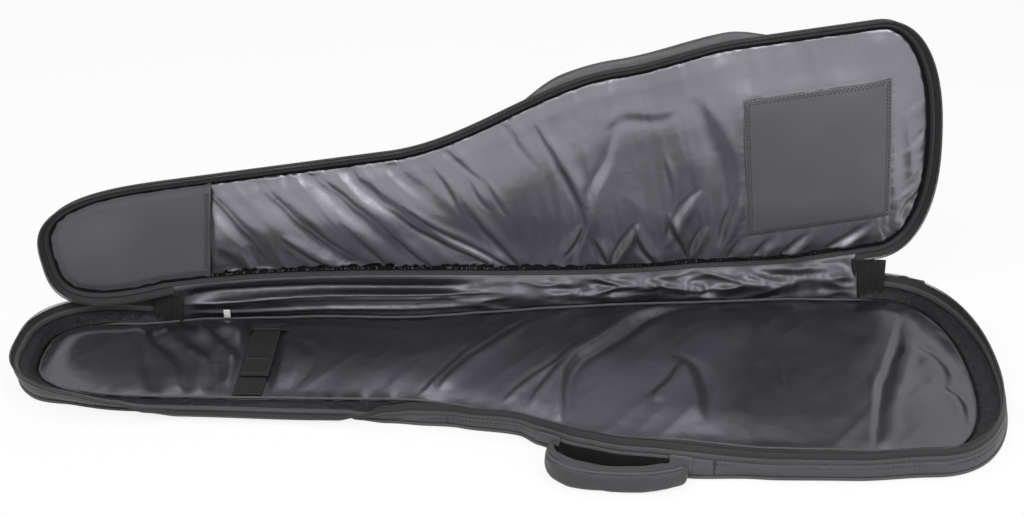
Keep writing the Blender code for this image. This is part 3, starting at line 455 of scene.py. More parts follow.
def clothPiece(name, grid, look, body, *stands, slot=None, thick=0.0, flip=False, closeRows=False,
               closeCols=False):
    grid = np.asarray(grid, float)
    rows, cols, _ = grid.shape
    full = np.concatenate([grid, grid[:1]]) if closeRows else grid
    full = np.concatenate([full, full[:, :1]], 1) if closeCols else full
    along = np.concatenate([[0], np.cumsum(np.linalg.norm(np.diff(full, axis=0), axis=-1).mean(1))])
    across = np.cumsum(np.linalg.norm(np.diff(full, axis=1, prepend=full[:, :1]), axis=-1), 1)
    i, j = np.meshgrid(np.arange(full.shape[0] - 1), np.arange(full.shape[1] - 1), indexing="ij")
    corners = [(i, j), (i + 1, j), (i + 1, j + 1), (i, j + 1)][::-1 if flip else 1]
    faces = np.stack([(a % rows) * cols + b % cols for a, b in corners], -1).reshape(-1, 4)
    uv = np.stack([xyz(along[a], across[a, b]) for a, b in corners], 2)
    mesh = newMesh(name, grid.reshape(-1, 3).tolist(), faces.tolist(), looks[look])
    mesh.uv_layers.new(name="cloth").data.foreach_set("uv", uv.astype(np.float32).ravel())
    mesh.shade_smooth()
    obj = newObject(name, mesh)
    if thick:
        solid = obj.modifiers.new("thickness", "SOLIDIFY")
        solid.thickness, solid.offset = thick, -1
    if body:
        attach(obj, body)
    slot or finishes[look][0]
    if stands:
        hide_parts(*stands)
    return obj


def tube(name, path, radius, look, body, *stands, sides=8, closed=False, up=upward):
    path = np.asarray(path, float)
    ahead = unit(np.roll(path, -1, 0) - np.roll(path, 1, 0) if closed else np.gradient(path, axis=0))
    side = unit(np.cross(ahead, up))
    top = np.cross(side, ahead)
    cos, sin = (k[None, :, None] for k in softRound(sides))
    radius = np.broadcast_to(radius, len(path))[:, None, None]
    grid = path[:, None] + radius * (side[:, None] * cos + top[:, None] * sin)
    if not closed:
        grid = np.concatenate([path[None, :1].repeat(sides, 1), grid, path[None, -1:].repeat(sides, 1)])
    return clothPiece(name, grid, look, body, *stands, closeRows=closed, closeCols=True)


# length of a stitch, the gap to the next, and half its width
stitchStyles = {"patch": (0.0034, 0.0020, 0.0007), "rim": (0.0034, 0.0020, 0.00055),
                "fine": (0.0032, 0.0014, 0.00042), "frayed": (0.0015, 0.0001, 0.00024)}
stitchFaces = ((0, 1, 2), (0, 2, 3), (1, 4, 5, 2), (2, 5, 6, 3), (7, 5, 4), (7, 6, 5), (0, 3, 1),
               (1, 3, 6, 4), (7, 4, 6))


def stitches(name, rows, look, body, style="fine"):
    long, gap, wide = stitchStyles[style]
    verts, faces = [], []
    for path, normal in rows:
        path, normal = np.asarray(path, float), np.broadcast_to(normal, np.shape(path))
        run = runOf(path)
        for start in np.arange(0, run[-1] - long, long + gap):
            a, b, n = (np.array([np.interp(at, run, line[:, k]) for k in range(3)])
                       for at, line in ((start, path), (start + long, path), (start, normal)))
            side, n = unit(np.cross(b - a, n)) * wide, unit(n) * wide
            faces += [tuple(len(verts) + k for k in face) for face in stitchFaces]
            c, d = mix(a, b, 0.22), mix(a, b, 0.78)
            verts += [a - n, c + side, c + n, c - side, d + side, d + n, d - side, b - n]
    mesh = newMesh(name, [tuple(v) for v in verts], faces, looks[look])
    mesh.shade_smooth()
    obj = newObject(name, mesh)
    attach(obj, body)


zipCoil = {"pitch": 0.0017, "perTurn": 7, "wire": 0.00056, "radius": 0.00118, "oval": 1.15}  # 7 points a turn


def coil(name, around, start, end, body, stands):  # around: station, cos and sin of the winding to a point
    count = int((end - start) / zipCoil["pitch"] * zipCoil["perTurn"])
    a = np.arange(count) * 2 * np.pi / zipCoil["perTurn"]
    path = around(np.linspace(start, end, count), np.cos(a), np.sin(a))
    tube(name, path, zipCoil["wire"], "zipCoil", body, stands, sides=4, up=(0.31, 0.17, 0.93))


def rimCoil(point):
    r, centre = zipCoil["radius"], rimShape["coil"]
    return lambda s, cos, sin: point(s, centre + r * zipCoil["oval"] * cos, centre + r * sin)


def strip(name, point, s, shape, look, body, *stands, closed=False):  # a folded tape round a rim
    low, high, outer, inner = rimStrips[shape]
    cx, cy = softRound(12, 0.45, 0.26)
    down, inward = (low + high) / 2 + (high - low) / 2 * cx, (outer + inner) / 2 + (inner - outer) / 2 * cy
    grid = np.stack([point(s, d, n) for d, n in zip(down, inward)], 1)
    clothPiece(name, grid, look, body, *stands, closeRows=closed, closeCols=True)


def capped(low, high, margin, count, step):  # stations that draw together at both ends
    cap = margin * (1 - np.cos(np.linspace(0, np.pi / 2, count)))
    return np.concatenate([low + cap[:-1], np.arange(low + margin, high - margin, step), high - cap[-2::-1]])


def planSurface(curve, stepX, count):  # grid over a plan region whose edge is curve(s)
    middle = outlineS[turnCount]
    near, far = curve(np.linspace(0, middle, 900)), curve(np.linspace(middle, total, 900))[::-1]
    x = capped(max(near[0, 0], far[0, 0]), min(near[-1, 0], far[-1, 0]), 0.02, 14, stepX)
    yNear, yFar = (np.interp(x, *edge[np.argsort(edge[:, 0])].T[:2]) for edge in (near, far))
    v = np.linspace(0, 1, count)
    v = mix(v, 0.5 - 0.5 * np.cos(np.pi * v), 0.35)  # closer together near the seams
    return np.repeat(x[:, None], count, 1), yNear[:, None] + (yFar - yNear)[:, None] * v


def edgeDistance(x, y, curve):  # how far the region's edge is, and at which station of the outline
    s = np.linspace(0, total, 1000, endpoint=False)
    edge = curve(s)[:, :2]
    dist, place = np.full(x.shape, 9.0), np.zeros(x.shape)
    for k in range(0, len(x), 20):  # a few rows at a time, to spare memory
        rows = slice(k, k + 20)
        d = np.hypot(x[rows, :, None] - edge[:, 0], y[rows, :, None] - edge[:, 1])
        dist[rows], place[rows] = d.min(-1), s[d.argmin(-1)]
    return dist, place


# the lid's lining: puffed satin with laid folds, gathered at its seams
lidLining = {
    "edgeIn": 0.0150, "depth": 0.0135, "crown": 0.0045, "bulge": 0.0095, "step": 0.0021, "across": 150,
    "seamMid": -0.3848, "seamSlope": -0.21,
    # each fold in mm: x and y along its path, width, rise, and the depth of the valley beside its ridge
    "folds": [
        ((-400, -130, -370, -62, -346, -17, -326, 18, -312, 50, -296, 124), 7.4, -7, 0.7),
        ((-320, -134, -300, -60, -276, -21, -250, 15, -226, 44, -196, 72, -164, 112), 7.6, -6.8, 0.6),
        ((-254, -134, -228, -62, -194, -20, -162, 20, -136, 58, -110, 104), 7, -5.8, 0.55),
        ((-216, -134, -180, -62, -142, -10, -108, 30, -70, 68, -26, 112, 0, 146), 7, -5.8, 0.25),
        ((-150, -14, -108, 26, -66, 62, -20, 104, 4, 130), 5, 4.4, 0.4),
        ((-128, -14, -92, 18, -48, 56, -2, 100, 20, 124), 4.6, 3, 0.5),
        ((-344, 16, -328, 50, -322, 110), 6.5, -4.8, 0.3),
        ((-382, 14, -360, 48, -350, 110), 7, -5.2, 0.4),
        ((-290, 6, -252, 50, -220, 78, -206, 104), 7, 4.6, 0.5),
        ((-214, -20, -182, 34, -160, 68, -150, 106), 7, 3.8, 0.5),
        ((-140, 34, -112, 70, -86, 110), 5.5, 3, 0.5),
        ((-160, -130, -122, -56, -88, -18, -56, 20), 7, -3.2, 0.3),
        ((-74, -62, -52, -20, -40, 20), 6, 2.6, 0.6),
        ((-48, -30, -24, 27, -5, 61, 20, 105, 30, 135), 6.5, 3.6, 0.6),
        ((60, -118, 83, -70, 102, -28, 114, 3, 120, 42, 116, 76, 98, 134), 7.5, 4.6, 0.7),
        ((180, -96, 164, -36, 146, 2, 134, 36, 134, 84, 156, 146), 10.5, 4.8, 0.5),
        ((190, 66, 176, 93, 160, 125, 150, 160), 5.8, 5, 0.6),
        ((184, 70, 192, 98, 206, 130, 220, 160), 5.6, 5, 0.6),
        ((84, 110, 98, 86, 110, 60), 5.6, 4, 0.6),
        ((128, 82, 140, 112, 150, 140), 5.6, 4.6, 0.6),
        ((230, 60, 238, 86, 248, 112, 260, 150), 5.6, 4.4, 0.6),
        ((278, 30, 262, 52, 244, 80, 226, 118), 7, 4.2, 0.6),
        ((282, 90, 272, 116, 260, 146), 5.6, 4, 0.6),
        ((232, -30, 238, 0, 246, 35), 4, 1.6, 0.8),
        ((-30, -40, -16, -8, -6, 15), 4, 1.6, 0.9),
        ((-8, -34, 6, 0, 18, 32), 4, 1.6, 0.9),
        ((276, -110, 298, -45, 314, 10, 314, 60, 300, 130), 10.5, -8.6, 0.2),
        ((339, 30, 328, 62, 316, 98, 306, 140), 6.5, 4.4, 0.7),
        ((614, -62, 580, -44, 546, -30), 7, 1.2, 0.8),
        ((616, -14, 582, 10, 550, 28), 7, 1.6, 0.8),
        ((605, 40, 575, 78, 545, 106), 8, 2.6, 0.9),
        ((603, 78, 580, 112, 552, 146), 8, 2.6, 0.9),
        ((336, 122, 328, 148, 316, 172), 6, 4, 0.8),
        ((382, 122, 368, 150, 350, 176), 7, 4.4, 0.8),
        ((436, 122, 412, 152, 384, 176), 7, 4.4, 0.8),
        ((520, 124, 482, 156, 446, 180), 8, 4.4, 0.8),
        ((150, -86, 186, -100, 222, -94, 256, -102), 10, 1.6, 0.6),
        ((6, -130, 40, -92, 66, -40), 6.5, 1.8, 0.7),
        ((-76, -110, -40, -70, -10, -30), 6, 1.8, 0.7),
    ],
}
bridgePatch = {"x": 0.4398, "y": 0.0106, "long": 0.200, "wide": 0.214, "stitchIn": (0.0035, 0.0068)}
liningZ = hingeMid[2] + lidLining["depth"]


def liningEdge(s):
    return offsetPoint(s, -lidLining["edgeIn"])


def pastPatch(x, y):  # how far a point is past the patch's sides, below 0 over the patch
    patch = bridgePatch
    return abs(x - patch["x"]) - patch["long"] / 2, abs(y - patch["y"]) - patch["wide"] / 2


def inPatch(x, y, grow, soft):  # 0 outside the stitched square, 1 inside it
    return ease((grow - np.maximum(*pastPatch(x, y))) / soft + 0.5)


def lidFace(x, y, dist, place):  # how far the satin stands proud, towards the inside of the bag
    hingeSide = ease((y - 0.02) / 0.04)
    neckTop = ease((-0.08 - x) / 0.08) * (1 - hingeSide)
    slant = ease((0.02 - x) / 0.12)
    uneven = (0.5 + 0.5 * wander(place / 0.0062, 7.0, 8)) ** 1.4
    fromSeam = dist - 0.0012 - (0.0018 + 0.0052 * hingeSide * ease((0.10 - x) / 0.10)) * uneven
    puff = mix(ease(fromSeam / 0.0065), ease(dist / 0.026), mix(0.85, 0.40, hingeSide))
    drawn = 0.5 + 0.5 * wander(place / 0.011 + 0.6 * wander(x / 0.05, y / 0.05, 3), dist / 0.05 + 3.0, 1)
    gather = (0.0024 + 0.0026 * hingeSide + 0.0022 * neckTop) * (drawn ** 1.5 - 0.35)
    gather *= np.exp(-dist / (0.011 + 0.011 * hingeSide + 0.006 * neckTop)) * ease(fromSeam / 0.004)
    knots = np.maximum(wander(place / 0.0075, dist / 0.06 + 9.0, 3), 0) ** 1.3
    gather -= 0.0036 * neckTop * knots * np.exp(-dist / 0.016) * ease(fromSeam / 0.003)
    run, cross = mix(x * 0.2 + y, x * 0.52 + y * 0.85, slant), mix(x - y * 0.1, x * 0.85 - y * 0.52, slant)
    loose = crests(cross / 0.024, run / 0.13, 2) * 0.0010 + crests(cross / 0.011, run / 0.08, 9) * 0.00035
    loose += wander(cross / 0.045, run / 0.16, 4) * mix(0.0022, 0.0012, slant)
    loose += wander(x / 0.10, y / 0.09, 5) * mix(0.0030, 0.0015, slant)
    loose = loose * puff + foldField(x, y, lidLining["folds"]) * ease(fromSeam / 0.010)
    overX, overY = pastPatch(x, y)
    off = np.maximum(overX, overY)
    pucker = np.where(overY > overX, wander(x / 0.006, y / 0.06, 6), wander(x / 0.06, y / 0.006, 6))
    pinch = (off > 0) * (0.0008 * pucker * np.exp(-abs(off) / 0.006) - 0.0012 * np.exp(-abs(off) / 0.0022))
    middle = (halfWidth(x, bag["near"]) + halfWidth(x, bag["far"])) / 2 - lidLining["edgeIn"]
    puffed = lidLining["crown"] * puff + lidLining["bulge"] * ease(dist / np.clip(middle, 0.03, 0.10))
    puffed += gather + loose * mix(0.10, 1.0, 1 - inPatch(x, y, 0.014, 0.034)) + pinch
    return mix(mix(-0.0012, -0.0034, hingeSide), puffed, ease(fromSeam / 0.0045))


def toLidPoint(x, y, proud):
    return openLid(xyz(x, y, liningZ - proud))


def makeLidLining():
    x, y = planSurface(liningEdge, lidLining["step"], lidLining["across"])
    seam = lidLining["seamMid"] + lidLining["seamSlope"] * y
    past = x - seam
    first = np.argmax((past > -0.006).any(1))
    sx, sy = np.maximum(x, seam)[first:], y[first:]  # rows that start short of the seam are drawn up to it
    proud = lidFace(sx, sy, *edgeDistance(sx, sy, liningEdge)) * ease((sx - seam[first:]) / 0.012 + 0.2)
    points = toLidPoint(sx, sy, proud - 0.0030 * inPatch(sx, sy, -0.004, 0.006))
    satin = clothPiece("lidSatin", points, "lidSatin", "lid", "lid_lining", "lid_padding",
                       thick=bag["cloth"], flip=True)
    # a near-black strip in the trough along the satin's seam: painted shade in the crevice under the puffed
    # edge
    ring = ringStations(0.004)
    tape = [openLid(offsetPoint(ring, out - lidLining["edgeIn"], liningZ - proud))
            for out, proud in ((0.0022, 0.0018), (-0.0020, 0.0004), (-0.0085, -0.0022))]
    clothPiece("lidSeamShade", np.stack(tape, 1), "shadeCloth", "lid", thick=0.0005, closeRows=True)
    last = len(x) - np.argmax((past < 0.004).any(1)[::-1])
    y, seam = y[:last], seam[:last]
    x = np.minimum(x[:last], seam + 0.001)
    dist, place = edgeDistance(x, y, liningEdge)
    calm = 0.0035 * ease(dist / 0.016) + wander(x / 0.09, y / 0.06, 7) * 0.0016 * ease(dist / 0.02)
    calm += 0.0012 * wander(place / 0.012, dist / 0.03, 8) * np.exp(-dist / 0.008) * ease(dist / 0.003)
    calm += 0.0010 * ease(1 - abs(x - seam) / 0.010)
    points = toLidPoint(x, y, calm)
    clothPiece("headPatch", points, "mattLining", "lid", "lid_head_patch", thick=bag["cloth"], flip=True)
    v = np.linspace(y[last // 2].min() + 0.014, y[last // 2].max() - 0.014, 60)
    edge = lidLining["seamMid"] + lidLining["seamSlope"] * v
    rows = [(toLidPoint(edge - back, v, 0.0056), lidInward) for back in (0.0030, 0.0062)]
    stitches("headPatchStitches", rows, "darkThread", "lid", "patch")


def makeFrayedThreads():  # ends of thread at the gathered seam beside the hinge
    rng = np.random.default_rng(5)
    rows = []
    for x in np.concatenate([rng.uniform(-0.395, 0.0, 120), rng.uniform(0.0, 0.50, 40)]):
        s = sAt("far", x) + np.array([0.0, 0.0004, 0.0010]) * rng.uniform(-2, 2)
        back = np.linspace(0.0016, rng.uniform(0.0026, 0.0062) + 0.0016, 3)
        rows.append((openLid(offsetPoint(s, -lidLining["edgeIn"] - back, liningZ - 0.0022)), lidInward))
    stitches("frayedThreads", rows, "frayed", "lid", "frayed")


def patchFace(x, y):
    overX, overY = pastPatch(x, y)
    edge = np.minimum(-overX * 2 / bridgePatch["long"], -overY * 2 / bridgePatch["wide"])
    lift = 0.0007 + 0.0005 * ease(edge / 0.08) + wander(x / 0.07, y / 0.05, 10) * 0.0012 * ease(edge / 0.15)
    return lidFace(x, y, *edgeDistance(x, y, liningEdge)) + lift


def makeBridgePatch():
    patch = bridgePatch
    gx, gy = np.meshgrid(np.linspace(-1, 1, 64), np.linspace(-1, 1, 64), indexing="ij")
    bow = 1 + 0.012 * wander(gx * 2.2 + 4, gy * 2.2, 9)
    x, y = patch["x"] + gx * patch["long"] / 2 * bow, patch["y"] + gy * patch["wide"] / 2 * bow
    points = toLidPoint(x, y, patchFace(x, y))
    clothPiece("bridgePatch", points, "mattLining", "lid", "lid_bridge_patch", thick=bag["cloth"], flip=True)
    rows = []
    t = np.linspace(0, 1, 40)
    for inset in patch["stitchIn"]:
        a, b = patch["long"] / 2 - inset, patch["wide"] / 2 - inset
        ring = [(-a, -b), (a, -b), (a, b), (-a, b), (-a, -b)]
        for start, end in zip(ring, ring[1:]):
            sx, sy = patch["x"] + mix(start[0], end[0], t), patch["y"] + mix(start[1], end[1], t)
            rows.append((toLidPoint(sx, sy, patchFace(sx[None], sy[None])[0] + 0.0002), lidInward))
    stitches("bridgePatchStitches", rows, "darkThread", "lid", "patch")


makeLidLining()
makeFrayedThreads()
makeBridgePatch()
print("lid lining and patches made")

# the lid's rim: coil, tape, binding, piping, and the outer cloth with its pocket
# each folded tape: where it starts and ends from the rim, and its outer and inner face
rimStrips = {"tape": (coilDown - 0.0006, tapeDown + 0.0008, 0.0008, 0.0020),
             "lidBinding": (tapeDown + 0.0002, bindingDown + 0.0006, -0.0004, 0.0052),
             "trayBinding": (tapeDown + 0.0002, bindingDown + 0.0006, -0.0004, 0.0064)}
lidRim = {"step": 0.0035, "pipe": 0.0022, "shell": 0.0186, "crown": 0.003}


def makeLidRim():
    ring = ringStations(lidRim["step"])
    zipped = stationsAlong(zipStart - 0.003, boutTabS + 0.003, lidRim["step"])
    coil("lidCoil", rimCoil(lidSlant), zipped[0], zipped[-1], "lid", "lid_zip_coil")
    strip("lidTape", lidSlant, zipped, "tape", "zipTape", "lid", "lid_zip_tape")
    strip("lidBinding", lidSlant, ring, "lidBinding", "lidBinding", "lid", "lid_rim_binding", "lid_gusset",
          closed=True)
    pipe = openLid(offsetPoint(ring, 0.0025 - bag["lidRimIn"], hingeMid[2] + 0.0200))
    tube("lidPiping", pipe, lidRim["pipe"], "lidBinding", "lid", "lid_piping", sides=10, closed=True,
         up=lidAcross)
    inner = lidSlant(ring, (tapeDown + bindingDown) / 2, 0.0056)
    away = inner - lidSlant(ring, (tapeDown + bindingDown) / 2, 0.004)
    stitches("lidBindingStitches", [(inner - unit(away) * 0.0004, away)], "darkThread", "lid")


def makeLidShell():
    def shellEdge(s):
        return offsetPoint(s, 0.0008 - bag["lidRimIn"])

    x, y = planSurface(shellEdge, 0.006, 54)
    dist, place = edgeDistance(x, y, shellEdge)
    height = lidRim["shell"] + lidRim["crown"] * ease(dist / 0.05)
    height += 0.0012 * wander(x / 0.09, y / 0.06, 3) * ease(dist / 0.03)
    height += 0.0007 * wander(place / 0.02, dist / 0.04, 5) * np.exp(-dist / 0.02)
    clothPiece("lidShell", openLid(xyz(x, y, hingeMid[2] + height)), "outerCloth", "lid", "lid_panel",
               thick=0.0016)


pocket = {
    "start": -0.010, "end": 0.540, "span": (-0.0325, 0.5420), "slope": -6.4, "depth": 0.0320, "corner": 0.030,
    "inset": [(0.000, 0.034), (0.110, 0.0125), (0.330, 0.0125), (0.430, 0.034)], "hingeInset": 0.035,
    "base": 0.0196, "crown": 0.0035, "cloth": 0.0016, "tape": 0.011, "zipIn": 0.045, "zipHalf": 0.0020,
    "pipe": 0.0018,
}


def makePocket():
    slope = math.radians(pocket["slope"])
    c, s = math.cos(slope), math.sin(slope)
    turnZ = np.array([[c, s], [-s, c]])

    def localEdge(side, start, end, inset):
        stations = np.linspace(sAt(side, start), sAt(side, end), 400)
        local = (offsetPoint(stations, -inset(planPoint(stations)[:, 0]))[:, :2] - hingeMid[:2]) @ turnZ.T
        return local[np.argsort(local[:, 0])].T

    def toRest(x, y, z):
        return openLid(xyz(hingeMid[0] + x * c - y * s, hingeMid[1] + x * s + y * c, hingeMid[2] + z))

    startX, endX = pocket["span"]
    x = np.sort(np.append(capped(startX, endX, 0.03, 10, 0.006), endX - 0.03))
    fromEnd = np.clip(np.minimum(x - startX, endX - x), 0, pocket["corner"])
    drop = pocket["corner"] - np.sqrt(pocket["corner"] ** 2 - (pocket["corner"] - fromEnd) ** 2)
    reach = pocket["start"] - 0.04, pocket["end"] + 0.03
    firstStop, lastStop = pocket["inset"][0][0], pocket["inset"][-1][0]
    near, far = (localEdge(side, *reach, inset) for side, inset in (
        ("near", lambda at: betweenStops(np.clip(at, firstStop, lastStop), pocket["inset"])),
        ("far", lambda at: pocket["hingeInset"])))
    low, high = np.interp(x, *near) + drop, np.interp(x, *far) - drop
    zipY = low.min() + pocket["zipIn"]
    top = pocket["base"] + pocket["depth"]

    def crown(gx, gy, rim):
        lift = pocket["crown"] * ease(rim / 0.05) * ease(np.minimum(gx - startX, endX - gx) / 0.06)
        return top + lift + 0.0016 * wander(gx / 0.06, gy / 0.07, 4) * ease(rim / 0.03)

    def panel(name, start, end, look, stands, count, thick, lift):
        use = end - start > 0.002
        v = np.linspace(0, 1, count)
        gx, gy = np.repeat(x[use][:, None], count, 1), mix(start[use][:, None], end[use][:, None], v)
        rim = np.minimum(gy - low[use][:, None], high[use][:, None] - gy)
        sunk = 0.0045 * (1 - ease(np.minimum(rim, np.minimum(gx - startX, endX - gx)) / 0.006))
        clothPiece(name, toRest(gx, gy, crown(gx, gy, rim) + lift - sunk), look, "lid", stands, thick=thick)

    half, tape, cloth = pocket["zipHalf"], pocket["tape"], pocket["cloth"]
    below, above = zipY + half, zipY - half
    panel("pocketFront", below + tape + 0 * x, high, "outerCloth", "pocket_panel", 48, cloth, 0.0014)
    band = low, np.maximum(above - tape, low)
    panel("pocketEdgeBand", *band, "outerCloth", "pocket_edge_panel", 14, cloth, 0.0014)
    lower = np.maximum(below - 0.0012, low), np.minimum(below + tape + 0.002, high)
    upper = np.maximum(above - tape - 0.002, low), np.maximum(above + 0.0012, low)
    panel("pocketTapeLower", *lower, "zipTape", "pocket_tape_lower", 6, 0.0008, 0.0004)
    panel("pocketTapeUpper", *upper, "zipTape", "pocket_tape_upper", 6, 0.0008, 0.0004)

    def onZip(t, cos, sin):
        z = crown(t, zipY, pocket["zipIn"]) + 0.0016
        return toRest(t, zipY + 0.0013 * cos, z + 0.0012 * sin)

    crossing = x[(low < zipY - 0.004) & (high > zipY + 0.004)]
    coil("pocketCoil", onZip, crossing[0], crossing[-1], "lid", "pocket_coil")
    wrap = np.concatenate([xyz(x, low), xyz(x, high)[::-1], xyz(x, low)[:1]])
    run = runOf(wrap)
    at = np.arange(0, run[-1], 0.005)
    p = xyz(np.interp(at, run, wrap[:, 0]), np.interp(at, run, wrap[:, 1]))
    t = unit(np.roll(p, -1, 0) - np.roll(p, 1, 0))[:, None]
    v = np.linspace(0, 1, 12)
    bow = np.sin(np.pi * v)
    bulge = 0.0022 * bow + 0.0016 * wander(at[:, None] / 0.024, v[None] * 2.2, 6) * bow ** 0.5
    gx, gy = p[:, :1] + t[..., 1] * bulge, p[:, 1:] - t[..., 0] * bulge
    side = toRest(gx, gy, pocket["base"] - 0.001 + (pocket["depth"] - 0.001) * v)
    clothPiece("pocketSide", side, "outerCloth", "lid", "pocket_gusset", thick=0.0014, closeRows=True)
    tube("pocketPiping", toRest(*p.T, top - 0.0012), pocket["pipe"], "bindingTape", "lid", closed=True,
         up=lidAcross)


makeLidRim()
makeLidShell()
makePocket()
print("lid rim, shell and pocket made")

# the tray: floor lining, walls inside and out, rim, bottom
tray = {
    "step": 0.0027, "across": 116, "crown": 0.0045, "headCrown": 0.0070, "pipe": 0.0019, "cloth": 0.0012,
    "strap": {"x": -0.3245, "half": 0.021, "to": 0.084},
    "folds": [
        ((-520, 130, -480, 60, -450, 14, -422, -24, -392, -110), 9.5, -8.8, 0.15),
        ((-500, 60, -470, -10, -436, -110), 9, -5, 0.1),
        ((-462, 116, -430, 50, -404, 20, -376, -18, -346, -110), 10.5, -11.2, 0.15),
        ((-424, 116, -390, 56, -364, 22, -344, -10), 9, -9, 0.15),
        ((-412, 0, -386, -40, -366, -110), 8.5, -6, 0.15),
        ((-290, 50, -270, 0, -278, -70), 12, 2.2, 0.8),
        ((290, 165, 240, 160, 182, 125, 130, 59, 89, 2, 73, -58, 73, -160), 12, 10, 0.25),
        ((-110, -88, -80, -40, -48, 21, -30, 60), 6, 2.2, 0.6),
        ((-80, -70, -65, -40, -3, 60, 50, 128), 8, 3.4, 0.6),
        ((0, -98, 57, -24, 112, 66), 7, 3.4, 0.6),
        ((34, -104, 64, -41, 80, -10), 6, 2.6, 0.7),
        ((195, -90, 206, -65, 240, 10), 9, 2.6, 0.7),
        ((225, 20, 240, -30, 250, -130), 14, 4, 0.7),
        ((560, 175, 522, 52, 493, -31, 475, -102, 452, -200), 5, -4.8, 0),
        ((584, 170, 546, 52, 516, -31, 496, -102, 474, -190), 11, 2.2, 0),
        ((362, 10, 361, -60), 6, 1.6, 0.8),
        ((568, -40, 583, -76, 578, -150), 9, 3.4, 0.8),
        ((540, 60, 570, 0, 560, -60), 14, 3, 0.7),
        ((345, 150, 330, 90, 340, 40), 14, 2, 0.7),
    ],
}


def floorEdge(s):
    return offsetPoint(s, floorOut(s) - 0.0008)


def floorFace(x, y, dist, place):
    plain = np.clip(x, -0.56, 0.56)
    local = 1.05 * (np.minimum(halfWidth(plain, bag["near"]), halfWidth(plain, bag["far"])) - 0.034)
    rounded = ease(dist / np.minimum(mix(0.038, 0.075, ease(0.5 - y / 0.09)), np.clip(local, 0.024, 0.075)))
    domed = 1 - (1 - np.clip(dist / np.clip(local, 0.040, 0.075), 0, 1)) ** 2
    rounded = mix(rounded, domed, ease((-0.33 - x) / 0.08))
    tilt = 0.060 * (y + 0.05) * ease((-0.335 - x) / 0.05)
    tilt -= 0.030 * y * ease((x + 0.24) / 0.08) * ease((0.14 - x) / 0.10)
    loose = wander(x / 0.12, y / 0.10, 1) * 0.0028 + wander(x / 0.05, y / 0.06, 2) * 0.0008
    loose += crests((x * 0.8 - y * 0.6) / 0.030, (x * 0.6 + y * 0.8) / 0.16, 3) * 0.0006
    nearNeck = ease((0.10 - abs(x + 0.165)) / 0.04) * (y < 0)
    gather = (0.0014 + 0.0022 * nearNeck) * (wander(place / 0.012, dist / 0.03, 4) - 0.2)
    gather *= np.exp(-dist / (0.011 + 0.006 * nearNeck)) * ease(dist / 0.003)
    strap = tray["strap"]
    pressed = ease((strap["half"] + 0.014 - abs(x - strap["x"])) / 0.014)
    pressed *= ease((strap["to"] + 0.02 - y) / 0.02)
    lift = mix(tray["crown"], tray["headCrown"], ease((-0.30 - x) / 0.08)) * rounded
    lift += tilt * ease(dist / 0.045)
    lift += (loose + foldField(x, y, tray["folds"])) * ease(dist / 0.024) + gather
    return mix(lift, -0.0003, pressed)


def makeFloor():
    x, y = planSurface(floorEdge, tray["step"], tray["across"])
    points = xyz(x, y, bag["floorTop"] + floorFace(x, y, *edgeDistance(x, y, floorEdge)))
    # the floor's satin is a darker copy of the lid's: painted shade on the tray floor
    satin = clothPiece("floorSatin", points, "shadedTraySatin", "base", "floor_lining", "back_padding",
                       thick=bag["cloth"])
    ring = ringStations(0.0035)
    beside = ease((0.54 - abs(planPoint(ring)[:, 0] + 0.02)) / 0.05)
    radius = (tray["pipe"] + 0.0002 * wander(ring / 0.012, 0.0, 6)) * mix(0.15, 1.0, beside)
    path = offsetPoint(ring, floorOut(ring) - 0.0020,
                       bag["floorTop"] + 0.0018 + 0.0004 * wander(ring / 0.03, 0.0, 7))
    tube("floorPiping", path, radius, "bindingTape", "base", "floor_seam_binding", closed=True)


# the outer cloth: rows, where it starts, how far it bellies and how rough it is; then the lining: rows, its
# upper edge, how deep it crumples, how many crumples from top to foot, how far it may sink, and its look
wallForm = {
    # the free walls' lining takes the darkest satin copy: painted shade inside the walls
    "free": {"rows": 13, "start": wallDown - 0.0006, "belly": 0.0010, "rough": 0.0011, "liningRows": 14,
             "down": wallDown - 0.0004, "inward": 0.0044, "deep": 0.0030, "crumples": 1.6, "least": -0.0012,
             "look": "shadedWallSatin"},
    # the hinge lining takes a darker satin copy: painted shade under the lid
    "hinge": {"rows": 12, "start": 0.0, "belly": 0.0160, "rough": 0.0011, "liningRows": 30,
              "down": 0.001, "inward": 0.0030, "deep": 0.0085, "crumples": 3.2, "least": -0.0150,
              "look": "shadedHingeSatin"},
}


def wallSkin(s, form):  # grid over the outer face of a wall
    v, rough = np.linspace(0, 1, form["rows"]), form["rough"]
    bow = np.sin(np.pi * v)
    seams = inside(s, 0.006)[:, None]
    down = form["start"] + (wallLong(s) - form["start"])[:, None] * v
    loose = form["belly"] * bow + rough * wander(s[:, None] / 0.040, down / 0.012, 2) * bow ** 0.6
    loose = loose + 0.6 * rough * wander(s[:, None] / 0.013, down / 0.022, 3) * bow
    loose = loose * seams - 0.0008 * (1 - seams)
    return np.stack([wallPoint(s, down[:, k], -loose[:, k]) for k in range(len(v))], 1)


def hingeCrumple(s, v, crumple, deep):  # long laid folds by the neck, slanting ones by the bout
    x = planPoint(s)[:, :1]
    ridge = 0.50 + 0.10 * wander(s / 0.22, 0.0, 4)[:, None] - 0.10 * ease((x + 0.25) / 0.3)
    lower = 0.78 + 0.05 * wander(s / 0.17, 9.0, 5)[:, None]
    laid = 0.0060 * hump(v - ridge, 0.050) + 0.0026 * hump(v - ridge - 0.10, 0.026)
    laid = laid + 0.0045 * hump(v - lower, 0.045) - 0.0165 * hump(v - 0.22, 0.17)
    slanting = crests(s[:, None] / 0.052 + v * 2.4, v * 2.4 - s[:, None] / 0.11, 10)
    return mix(crumple + deep * 0.5 * slanting, crumple * 0.25 + laid, ease((0.02 - x) / 0.16))


